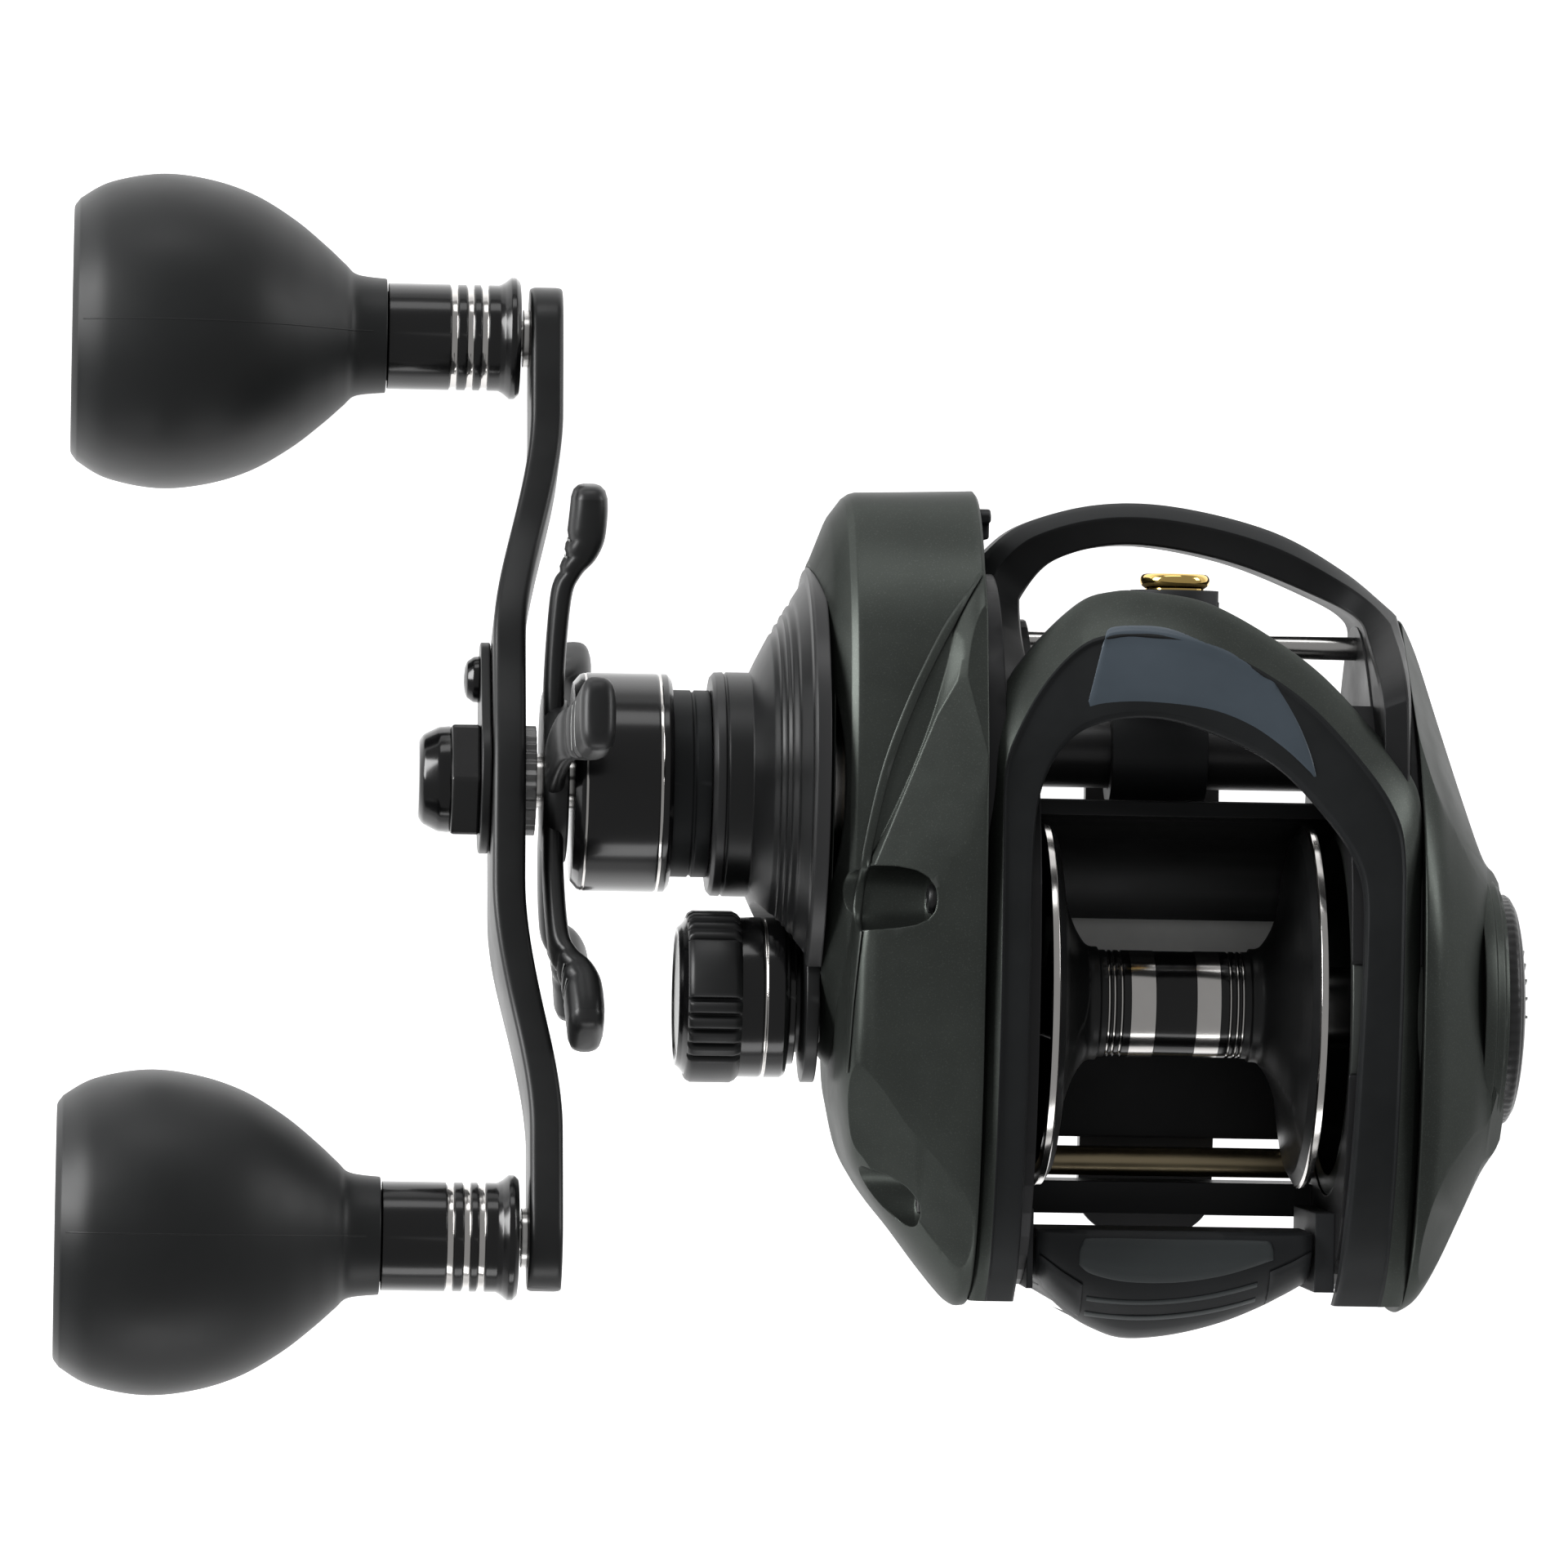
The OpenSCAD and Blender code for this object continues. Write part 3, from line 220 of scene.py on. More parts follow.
SLOT_LOOK = {
    "charcoal_coat": CHARCOAL, "green_gray_coat": GREEN, "black_anodised": SATIN,
    "black_gloss": GLOSS, "soft_black": RUBBER, "inlay_blue": INLAY,
    "black_plastic": PLASTIC, "steel": STEEL, "brass": BRASS, "bronze": BRONZE,
    "gold_ring": GOLD, "carbon_fibre": CARBON, "magnet": STEEL,
}
NODE_LOOK = {
    "frame": FRAME_BLACK, "roller_clutch": SATIN, "foot_screws": SATIN, "worm_guard": SATIN,
    "reel_foot": SATIN, "handle_spacer": KNURLED, "rear_rod": BRONZE,
}


def dress_cad():
    """Gives every CAD node the finish of its material slot."""
    for part in frame["record"]["subparts"]:
        node = frame["nodes"][part["node"]]
        look = NODE_LOOK.get(part["node"], SLOT_LOOK[part["material_slot"]])
        node.data.materials.clear()
        node.data.materials.append(look)


# ---------- mesh builders ----------
def new_piece(name, verts, faces, looks, face_looks=None, sharp=40):
    """A mesh object from points in mm, smooth except at edges sharper than the angle."""
    mesh = bpy.data.meshes.new(name)
    mesh.from_pydata([tuple(c * MM for c in v) for v in verts], [], faces)
    for look in looks:
        mesh.materials.append(look)
    if face_looks:
        for face, index in zip(mesh.polygons, face_looks):
            face.material_index = index
    work = bmesh.new()
    work.from_mesh(mesh)
    bmesh.ops.recalc_face_normals(work, faces=work.faces)
    work.to_mesh(mesh)
    work.free()
    mesh.shade_smooth()
    mesh.set_sharp_from_angle(angle=math.radians(sharp))
    piece = bpy.data.objects.new(name, mesh)
    bpy.context.scene.collection.objects.link(piece)
    return piece


def place(piece, body, slot, *replaced):
    """Rides a piece on its body, in place of CAD nodes. The slot is not used."""
    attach(piece, body)
    if replaced:
        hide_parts(*replaced)
    return piece


def rounded(profile, radius, steps=3):
    """Rounds each corner of an open profile of (x, r, look) points."""
    out = [profile[0]]
    for before, here, after in zip(profile, profile[1:], profile[2:]):
        a = Vector(before[:2]) - Vector(here[:2])
        b = Vector(after[:2]) - Vector(here[:2])
        reach = min(radius, a.length * 0.45, b.length * 0.45)
        if reach < 0.01:
            out.append(here)
            continue
        start = Vector(here[:2]) + a.normalized() * reach
        end = Vector(here[:2]) + b.normalized() * reach
        for i in range(steps + 1):
            t = i / steps
            p = start * (1 - t) ** 2 + Vector(here[:2]) * 2 * t * (1 - t) + end * t * t
            look = here[2] if i == steps else before[2]
            out.append((p.x, p.y, look))
    out.append(profile[-1])
    return out


def lathe(name, profile, centre, looks, segments=128, corner=0.12, sharp=50):
    """Turned piece on an axis along X. profile is (x, r, look) points; look is the
    material of the stretch that starts there."""
    points = rounded(profile, corner) if corner else profile
    verts, faces, marks = [], [], []
    for x, r, _ in points:
        for k in range(segments):
            verts.append((x, *turned(centre, r, 0, 2 * math.pi * k / segments)))
    for i in range(len(points) - 1):
        for k in range(segments):
            n = (k + 1) % segments
            faces.append((i * segments + k, i * segments + n,
                          (i + 1) * segments + n, (i + 1) * segments + k))
            marks.append(points[i][2])
    for i in (0, len(points) - 1):
        if points[i][1] > 0.001:
            faces.append(tuple(i * segments + k for k in range(segments)))
            marks.append(points[i][2])
    piece = new_piece(name, verts, faces, looks, marks, sharp)
    merge(piece)
    return piece


def merge(piece, distance=0.0005):
    work = bmesh.new()
    work.from_mesh(piece.data)
    bmesh.ops.remove_doubles(work, verts=work.verts, dist=distance * MM)
    bmesh.ops.dissolve_degenerate(work, edges=work.edges, dist=distance * MM)
    bmesh.ops.recalc_face_normals(work, faces=work.faces)
    work.to_mesh(piece.data)
    work.free()


def curve_points(points, steps=8):
    """Smooth open curve through a few points of any length."""
    out = []
    last = len(points) - 1
    for i in range(last):
        a, b = points[max(0, i - 1)], points[i]
        c, d = points[i + 1], points[min(last, i + 2)]
        for s in range(steps):
            t = s / steps
            out.append(tuple(
                0.5 * (2 * q + (r - p) * t + (2 * p - 5 * q + 4 * r - u) * t * t
                       + (3 * q - p - 3 * r + u) * t ** 3)
                for p, q, r, u in zip(a, b, c, d)))
    out.append(tuple(points[-1]))
    return out


def skin(name, rings, looks, sharp=40, caps=True, look_of=None):
    """Closed skin through rings of the same number of points."""
    count = len(rings[0])
    verts = [p for ring in rings for p in ring]
    faces, marks = [], []
    for i in range(len(rings) - 1):
        for k in range(count):
            n = (k + 1) % count
            faces.append((i * count + k, i * count + n,
                          (i + 1) * count + n, (i + 1) * count + k))
            marks.append(look_of(i, k) if look_of else 0)
    if caps:
        faces.append(tuple(range(count)))
        faces.append(tuple((len(rings) - 1) * count + k for k in range(count)))
        marks += [0, 0]
    return new_piece(name, verts, faces, looks, marks, sharp)


def bevelled(piece, width, segments=3, angle=30):
    bevel = piece.modifiers.new("soft edges", "BEVEL")
    bevel.width = width * MM
    bevel.segments = segments
    bevel.limit_method = "ANGLE"
    bevel.angle_limit = math.radians(angle)
    bevel.harden_normals = True
    return piece


def slab(name, outline, looks, low, high, axis="x", bevel=0.3, sharp=35):
    """A flat piece from an outline: (y, z) points for axis x, (x, y) for axis z.
    low and high are numbers or functions of the outline's point."""
    def at(p, h):
        h = h(*p) if callable(h) else h
        return (h, p[0], p[1]) if axis == "x" else (p[0], p[1], h)
    rings = [[at(p, low) for p in outline], [at(p, high) for p in outline]]
    return bevelled(skin(name, rings, looks, sharp), bevel)


# ---------- handle ----------
def knob(side, centre):
    body = side + "_knob"
    x0, x1 = span(side + "_knob_grip", 0)
    low, high = span(side + "_knob_grip", 2)
    r = (high - low) / 2
    swell = [(x0 + 0.7, 14.6), (x0 + 4, 16.45), (x0 + 9.6, r - 0.02), (x0 + 15, 16.95),
             (x0 + 20, 15.35), (x0 + 24.5, 12.7), (x0 + 28, 9.9), (x0 + 30.2, 7.9),
             (x0 + 31.6, 6.75), (x1, 6.35)]
    profile = [(x0 + 0.35, 0, 0), (x0 + 0.35, 5.2, 0), (x0 + 0.55, 5.35, 0),
               (x0 + 0.55, 5.75, 0), (x0 + 0.02, 6, 0), (x0 + 0.02, 13.7, 0)]
    profile += [(x, q, 0) for x, q in curve_points(swell, 7)]
    profile += [(x1, 5.4, 0), (x1 - 2, 5.05, 0)]
    grip = lathe(side + "_grip", profile, centre, [RUBBER], 160, 0.3, 60)
    place(grip, body, "soft_black", side + "_knob_grip")
    mould_line(side, centre, swell)
    a, b = span(side + "_knob_collar", 0)
    a += 6
    lines = []
    for x in (b - 7.35, b - 5.55, b - 3.95):
        lines += [(x - 0.42, 5.9, 0), (x - 0.42, 5.66, 1), (x + 0.1, 5.6, 1), (x + 0.3, 5.62, 0),
                  (x + 0.42, 5.9, 0)]
    sleeve = [(a - 4, 4.95, 0), (a + 0.12, 4.95, 0), (a + 0.12, 5.9, 0)] + lines
    sleeve += [(b - 2.3, 5.9, 0), (b - 1.75, 6.2, 0), (b - 1.05, 6.78, 0), (b - 0.5, 6.78, 0),
               (b, 6.3, 0), (b, 4.4, 0), (b - 2, 4.4, 0)]
    collar = lathe(side + "_collar", sleeve, centre, [GLOSS, SILVER], 128, 0.1)
    place(collar, body, "black_gloss", side + "_knob_collar")


def mould_line(side, centre, swell):
    """The fine parting line that runs along both flanks of a grip."""
    path = curve_points(swell, 4)
    for k, flank in enumerate((88, 268)):
        rings = []
        for x, r in path[1:-2]:
            ring = []
            for i in range(6):
                b = math.radians(60 * i)
                ring.append((x, *turned(centre, r - 0.03 + 0.07 * math.sin(b),
                                        0.11 * math.cos(b), math.radians(flank))))
            rings.append(ring)
        line = skin(f"{side}_mould_line_{k}", rings, [RUBBER], 80)
        place(line, side + "_knob", "soft_black")


TILT = math.atan2(DRIVE[1] - FRONT_KNOB[1], FRONT_KNOB[0] - DRIVE[0])
HALF = math.dist(FRONT_KNOB, DRIVE)


def on_handle(u, v):
    """(y, z) of a point u along the handle towards the front knob and v across it."""
    return turned(DRIVE, u, v, -TILT)


ARM_OUT, ARM_IN = span("handle_arm", 0)
ARM_T = 3.6
CRANK = ARM_IN - ARM_OUT - ARM_T


def crank(u):
    t = min(1, max(0, (abs(u) - 14) / 28))
    return CRANK * t * t * (3 - 2 * t)


def arm_half_width(u):
    u = abs(u)
    table = [(0, 8.4), (14, 7.3), (30, 5.3), (40, 5.2), (HALF - 2, 5.75)]
    for (a, p), (b, q) in zip(table, table[1:]):
        if u <= b:
            t = (u - a) / (b - a)
            t = t * t * (3 - 2 * t)
            return p + (q - p) * t
    beyond = u - (HALF - 2)
    return math.sqrt(max(0.0, 5.75 ** 2 - max(0, beyond - 2) ** 2)) if beyond > 2 else 5.75


def handle():
    """The cranked arm, from rounded sections across its length."""
    end = HALF + 5.72
    stations = [end * math.sin(math.pi / 2 * i / 60) for i in range(-60, 61)]
    section = []
    for a, b, corner in ((1, 1, 0), (-1, 1, 90), (-1, -1, 180), (1, -1, 270)):
        for step in range(5):
            t = math.radians(corner + 22.5 * step)
            section.append((a, b, math.cos(t), math.sin(t)))
    rings = []
    for u in stations:
        w = max(0.05, arm_half_width(u))
        soft = min(0.75, w * 0.9)
        ring = []
        for a, b, c, s in section:
            x = ARM_OUT + crank(u) + ARM_T / 2 + a * (ARM_T / 2 - soft) + soft * c
            v = b * (w - soft) + soft * s
            ring.append((x, *on_handle(u, v)))
        rings.append(ring)
    arm = skin("handle_blade", rings, [SATIN], 60)
    place(arm, "drive", "black_anodised", "handle_arm")
    nut()


def nut():
    x = span("handle_nut", 0)[0]
    seat = span("nut_retainer", 0)[0]
    cap = [(x + 0.02, 0, 0), (x + 0.02, 4.2, 0), (x + 0.5, 4.9, 0), (x + 2.2, 5.75, 0),
           (x + 3.5, 5.85, 0), (x + 3.62, 5.4, 0)]
    place(lathe("cap_nut_dome", cap, DRIVE, [GLOSS], 96, 0.25), "drive", "black_anodised",
          "handle_nut")
    flats = [turned(DRIVE, 6.95, 0, math.radians(60 * i + 30)) for i in range(6)]
    hexagon = slab("cap_nut_hex", flats, [GLOSS], x + 3.5, seat - 0.02, bevel=0.35)
    place(hexagon, "drive", "black_anodised")
    outline = []
    big, small, far = 8.1, 4.1, 11.8
    for i in range(33):
        a = math.radians(60 + 240 * i / 32)
        outline.append((big * math.cos(a), big * math.sin(a)))
    for i in range(17):
        a = math.radians(-70 + 140 * i / 16)
        outline.append((far + small * math.cos(a), small * math.sin(a)))
    outline = [on_handle(u, v) for u, v in outline]
    plate = slab("nut_lock_plate", outline, [SATIN], seat, seat + 1.1, bevel=0.22)
    place(plate, "drive", "black_anodised", "nut_retainer")
    centre = on_handle(far, 0)
    top = span("retainer_screw", 0)[0]
    head = [(top + 0.75, 0, 0), (top + 0.75, 0.85, 0), (top + 0.1, 0.95, 0), (top + 0.02, 1.3, 0),
            (top + 0.3, 2.0, 0), (top + 1.0, 2.5, 0), (top + 1.66, 2.58, 0),
            (top + 1.66, 1.2, 0)]
    place(lathe("lock_screw_head", head, centre, [GLOSS], 64, 0.12), "drive",
          "black_anodised", "retainer_screw")


# ---------- star drag ----------
STAR_TURN = 4.5
STAR_ARMS = 5
STAR_R = 32.6


def star():
    """Five bent arms on a hub, and the drag collar behind them."""
    hub_x = span("star_drag", 0)[0]
    route = curve_points([(5, hub_x + 1.25, 3.4, 1.2), (12, hub_x + 1.2, 3.1, 1.12),
                          (20, hub_x + 1.7, 2.9, 1.15), (22.6, hub_x + 2.5, 3.0, 1.3),
                          (24.4, hub_x + 3.6, 3.5, 1.75), (26.5, hub_x + 4.25, 3.9, 2.05),
                          (29.4, hub_x + 4.55, 4.1, 2.05),
                          (STAR_R - 1.4, hub_x + 4.6, 4.05, 1.95)], 6)
    cap = [(STAR_R - 0.6, hub_x + 4.6, 3.7, 1.7), (STAR_R - 0.15, hub_x + 4.6, 3.0, 1.25),
           (STAR_R, hub_x + 4.6, 2.1, 0.8)]
    for arm in range(STAR_ARMS):
        turn = math.radians(STAR_TURN + 360 / STAR_ARMS * arm)
        rings = []
        for radius, x, w, t in route + cap:
            ring = []
            for k in range(28):
                a = 2 * math.pi * k / 28
                c, s = math.cos(a), math.sin(a)
                v = w * math.copysign(abs(c) ** 0.55, c)
                h = t * math.copysign(abs(s) ** 0.7, s)
                # grooves for the fingertip on the outer side
                if h < 0 and 22.5 < radius < 28:
                    h += 0.28 * max(0, math.sin((radius - 22.5) * 2 * math.pi / 1.85))
                ring.append((x + h, *turned(DRIVE, radius, v, turn)))
            rings.append(ring)
        blade = skin(f"star_arm_{arm}", rings, [SATIN], 70)
        place(blade, "star", "black_anodised")
        finger_lines(arm, turn, route)
    hub = [(hub_x + 0.02, 3.1, 0), (hub_x + 0.02, 7.4, 0), (hub_x + 0.5, 8.4, 0),
           (hub_x + 1.3, 8.9, 0), (hub_x + 2.75, 8.9, 0), (hub_x + 2.75, 3.1, 0)]
    place(lathe("star_hub", hub, DRIVE, [SATIN], 96, 0.25), "star", "black_anodised",
          "star_drag")
    x0, x1 = span("drag_collar", 0)
    step = x1 - 3.4
    reach = max(x1, span("gear_cover", 0)[0] - 0.12)
    drum = [(x0, 3.1, 0), (x0, 10.9, 0), (x0 + 0.7, 11.75, 0), (x0 + 1.1, 11.92, 1),
            (x0 + 1.35, 11.92, 0), (x0 + 1.45, 11.98, 0), (step - 1.6, 11.98, 0),
            (step - 1.5, 11.9, 1), (step - 1.2, 11.9, 0), (step - 1.1, 11.98, 0),
            (step - 0.5, 11.98, 0), (step, 11.4, 0), (step, 10.25, 2), (x1 - 1.3, 10.25, 2),
            (x1 - 1.2, 10.05, 2), (x1 - 0.95, 10.05, 2), (x1 - 0.85, 10.25, 2),
            (reach, 10.25, 2), (reach, 7.1, 0)]
    place(lathe("drag_drum", drum, DRIVE, [GLOSS, SILVER, CHARCOAL], 160, 0.06), "star",
          "black_gloss", "drag_collar")


def finger_lines(arm, turn, route):
    """Three pale lines across the paddle, where the finger pushes."""
    for i in range(3):
        radius = 24.7 + 1.85 * i
        _, x, _, thick = min(route, key=lambda p: abs(p[0] - radius))
        rings = []
        for j in range(13):
            v = -2.5 + 5.0 * j / 12
            out = thick - 0.14 - 0.02 * v * v
            ring = []
            for k in range(6):
                b = math.radians(60 * k)
                ring.append((x - out - 0.05 * math.sin(b),
                             *turned(DRIVE, radius + 0.13 * math.cos(b), v, turn)))
            rings.append(ring)
        line = skin(f"star_line_{arm}_{i}", rings, [PAINT], 80)
        place(line, "star", "black_anodised")


# ---------- gear cover, tension knob, brake dial ----------
def gear_cover():
    x0 = span("gear_cover", 0)[0]
    x1 = -39.25
    cone = [(x0 + 8.6, 5.7, 0), (x0 + 8.6, 9.3, 0), (x0, 9.3, 0), (x0, 11.8, 0),
            (x0 + 0.4, 12.25, 0), (x0 + 1.3, 12.3, 0), (x0 + 1.4, 12.12, 0),
            (x0 + 1.6, 12.12, 0), (x0 + 1.7, 12.3, 0), (x0 + 4.3, 12.3, 0)]
    slope = curve_points([(x0 + 4.3, 12.3), (x0 + 5.2, 14.2), (x0 + 7, 17.6),
                          (x0 + 9, 20.8), (x0 + 10, 22.4)], 10)
    for x, r in slope:
        groove = 0.14 if int((r - 12.3) / 0.5) in (9, 11, 13, 15) else 0.0
        cone.append((x + groove, r - groove, 0))
    cone += [(x0 + 10.1, 23.6, 0), (x0 + 10.4, 23.95, 0), (x1, 23.95, 0), (x1, 5.7, 0)]
    cover = lathe("gear_cover_cone", cone, DRIVE, [SATIN], 192, 0)
    cutter = lathe("cutter_for_tension_knob",
                   [(-60, 0, 0), (-60, 10.4, 0), (-38, 10.4, 0), (-38, 0, 0)],
                   SPOOL, [GLOSS], 96, 0)
    subtract(cover, cutter)
    place(cover, "frame", "black_gloss", "gear_cover")
    spigot = [(-49.7, 4.1, 0), (-49.7, 5.95, 0), (-43.2, 5.95, 0), (-41.1, 5.95, 0),
              (-40.7, 9.2, 0), (-39.3, 9.2, 0), (-39.3, 4.95, 0), (-37.1, 4.95, 0)]
    place(lathe("tension_spigot", spigot, SPOOL, [SATIN], 96, 0.1), "frame", "black_gloss")


def combine(piece, other, operation):
    """Applies a boolean with another mesh and throws that mesh away."""
    change = piece.modifiers.new("boolean", "BOOLEAN")
    change.operation = operation
    change.solver = "EXACT"
    change.object = other
    apply_modifiers(piece)
    mesh = other.data
    bpy.data.objects.remove(other)
    bpy.data.meshes.remove(mesh)


def subtract(piece, cutter):
    combine(piece, cutter, "DIFFERENCE")
    crisp(piece, 35)


def apply_modifiers(piece):
    bpy.context.view_layer.update()
    shaped = bpy.data.meshes.new_from_object(
        piece.evaluated_get(bpy.context.evaluated_depsgraph_get()))
    piece.modifiers.clear()
    piece.data = shaped


def fluted(name, sections, count, cut):
    """A rim on the spool's axis. cut(angle) times a section's depth comes off its radius."""
    rings = []
    for x, r, depth in sections:
        ring = []
        for k in range(count):
            a = 2 * math.pi * k / count
            ring.append((x, *turned(SPOOL, r - depth * cut(a), 0, a)))
        rings.append(ring)
    return skin(name, rings, [SATIN], 40)


def grip_flutes(angle):
    """Five flutes in each quarter of the tension knob, between four plain pads."""
    quarter = (math.degrees(angle) + 22) % 90 - 45
    flute = max(0, math.cos(math.radians(quarter * 360 / 11)))
    return 0.75 * flute ** 2 if abs(quarter) < 28 else 0


def tension_knob():
    x0 = span("tension_knob", 0)[0]
    grip_end = x0 + 6.9
    sections = [(x0 + 1.0, 8.75, 0), (x0 + 1.2, 9.1, 0.5), (x0 + 1.7, 9.38, 1),
                (grip_end - 0.9, 9.38, 1), (grip_end - 0.35, 9.1, 0.6), (grip_end, 8.7, 0)]
    place(fluted("tension_grip", sections, 360, grip_flutes), "tension", "black_gloss",
          "tension_knob")
    face = [(x0 + 0.32, 0, 1), (x0 + 0.32, 6.6, 1), (x0 + 0.36, 6.8, 0), (x0 + 0.02, 7.0, 0),
            (x0 + 0.02, 7.5, 0), (x0 + 0.5, 7.9, 0), (x0 + 1.05, 8.6, 0), (x0 + 1.4, 8.7, 0)]
    place(lathe("tension_face", face, SPOOL, [GLOSS, FLOOR_GRAY], 128, 0.1), "tension",
          "black_gloss")
    waist = [(grip_end - 0.3, 8.6, 0), (grip_end, 8.75, 0), (grip_end + 2.3, 8.75, 0),
             (grip_end + 2.4, 8.6, 1), (grip_end + 2.62, 8.6, 1), (grip_end + 2.72, 8.75, 0),
             (grip_end + 4.6, 8.75, 0), (grip_end + 5.1, 8.4, 0), (grip_end + 5.15, 7.28, 0),
             (grip_end + 5.95, 7.28, 0), (grip_end + 5.95, 6.2, 0)]
    place(lathe("tension_body", waist, SPOOL, [GLOSS, SILVER], 160, 0.15), "tension",
          "black_gloss")


KNURLS = 72


def brake_dial():
    x1 = span("brake_dial", 0)[1]
    sections = [(x1 - 3.1, 12.1, 0), (x1 - 2.9, 12.6, 1), (x1 - 1.9, 12.65, 1),
                (x1 - 1.5, 12.4, 0.6), (x1 - 1.25, 12.0, 0)]
    rim = fluted("dial_rim", sections, 4 * KNURLS,
                 lambda a: 0.07 * max(0, math.cos(a * KNURLS)) ** 3)
    place(rim, "dial", "black_anodised", "brake_dial")
    face = [(x1 - 1.3, 12.0, 0), (x1 - 1.0, 11.6, 0), (x1 - 0.75, 10.6, 1), (x1 - 0.72, 10.35, 0),
            (x1 - 0.45, 8.8, 0), (x1 - 0.15, 6.2, 0), (x1 - 0.1, 6.0, 0), (x1 - 0.5, 5.7, 0),
            (x1 - 0.55, 2.0, 0), (x1 - 0.6, 0, 0)]
    place(lathe("dial_face", face, SPOOL, [SATIN, SILVER], 160, 0.1), "dial",
          "black_anodised")
    stem = [(29.25, 0, 0), (29.25, 5.85, 0), (x1 - 3.0, 5.85, 0), (x1 - 3.0, 12.2, 0)]
    place(lathe("dial_stem", stem, SPOOL, [SATIN], 96, 0.1), "dial", "black_anodised")
    for i in range(12):
        near, far, half = 7.4, 7.9 + 0.06 * i, 0.14
        outline = [turned(SPOOL, u, v, math.radians(-60 + 14 * i))
                   for u, v in ((near, -half), (far, -half), (far, half), (near, half))]
        tick = slab(f"dial_tick_{i}", outline, [PAINT], x1 - 0.6, x1 - 0.18, bevel=0.03)
        place(tick, "dial", "black_anodised")


# ---------- spool ----------
def spool():
    rim = span("spool", 0)[1]
    low, high = span("spool", 2)
    r = (high - low) / 2
    half = [(rim - 0.05, r - 0.02, 1), (rim - 0.7, r - 0.02, 1), (rim - 0.9, r - 0.3, 2),
            (rim - 1.6, r - 1.5, 2)]
    half += [(x, q, 2) for x, q in curve_points(
        [(rim - 2.2, 15), (12.2, 12), (11.2, 9), (10.3, 7.3), (9.6, 6.45), (9.0, 6.2)], 6)]
    half += [(8.4, 6.2, 2), (8.2, 5.85, 2)]
    for x in (7.5, 6.9, 6.1):
        half += [(x, 5.85, 0), (x - 0.05, 5.7, 1), (x - 0.25, 5.7, 0), (x - 0.3, 5.85, 0)]
    half += [(4.9, 5.85, 1), (2.25, 5.85, 0), (2.2, 5.8, 0), (0.3, 5.8, 0)]
    mirror = []
    for (x, q, _), (_, _, look) in zip(half[:0:-1], half[-2::-1]):
        mirror.append((-x, q, look))
    inner = [(-rim, r, 0), (-rim, r - 2.2, 0), (-rim + 1.6, r - 3.4, 0), (-rim + 1.6, 7, 0),
             (-rim + 2.4, 4.4, 0), (-rim - 0.95, 3.2, 0), (-rim - 0.95, 1.52, 0)]
    right = [(rim - 4, 1.52, 0), (rim - 4, 3.2, 0), (rim - 1.6, 4.6, 0), (rim - 1.6, 17.2, 0),
             (rim, 17.9, 0), (rim, r - 0.05, 1)]
    profile = right + half + mirror + inner
    place(lathe("spool_body", profile, SPOOL, [GLOSS, SILVER, SATIN], 192, 0.05, 40),
          "spool", "black_gloss", "spool")


# ---------- side plates ----------
def egg(y0, y1, z0, z1, n=2.4, nose=0.0, count=144):
    """A squared-off oval of (y, z) points. Its front is lower by nose."""
    out = []
    for i in range(count):
        a = 2 * math.pi * i / count
        c, s = math.cos(a), math.sin(a)
        u = math.copysign(abs(c) ** (2 / n), c)
        v = math.copysign(abs(s) ** (2 / n), s)
        f = max(0.0, u)
        out.append(((y0 + y1) / 2 + u * (y1 - y0) / 2,
                    (z0 + z1) / 2 - nose * f * f * (z1 - z0) / 4
                    + v * (z1 - z0) / 2 * (1 - nose * f * f)))
    return out


def egg_rings(sections, steps=6):
    """Rings through (x, y0, y1, z0, z1, n, nose) sections, as one smooth loft."""
    return [[(s[0], y, z) for y, z in egg(*s[1:])] for s in curve_points(sections, steps)]


BOTTOM, TOP = span("palm_side_plate", 2)
SEAM_L, SEAM_R = span("hood", 0)


def round_x(name, x0, x1, radius, y, z):
    """A plain cutter along X."""
    return lathe(name, [(x0, 0, 0), (x0, radius, 0), (x1, radius, 0), (x1, 0, 0)], (y, z),
                 [GREEN], 64, 0)


HOUSING_R = 32.2
HOUSING_H = 24.5
SCREWS = [(-27.6, 11.3, 46.2), (-27.5, -21.3, 38.6), (-31.5, 8, 1.8)]


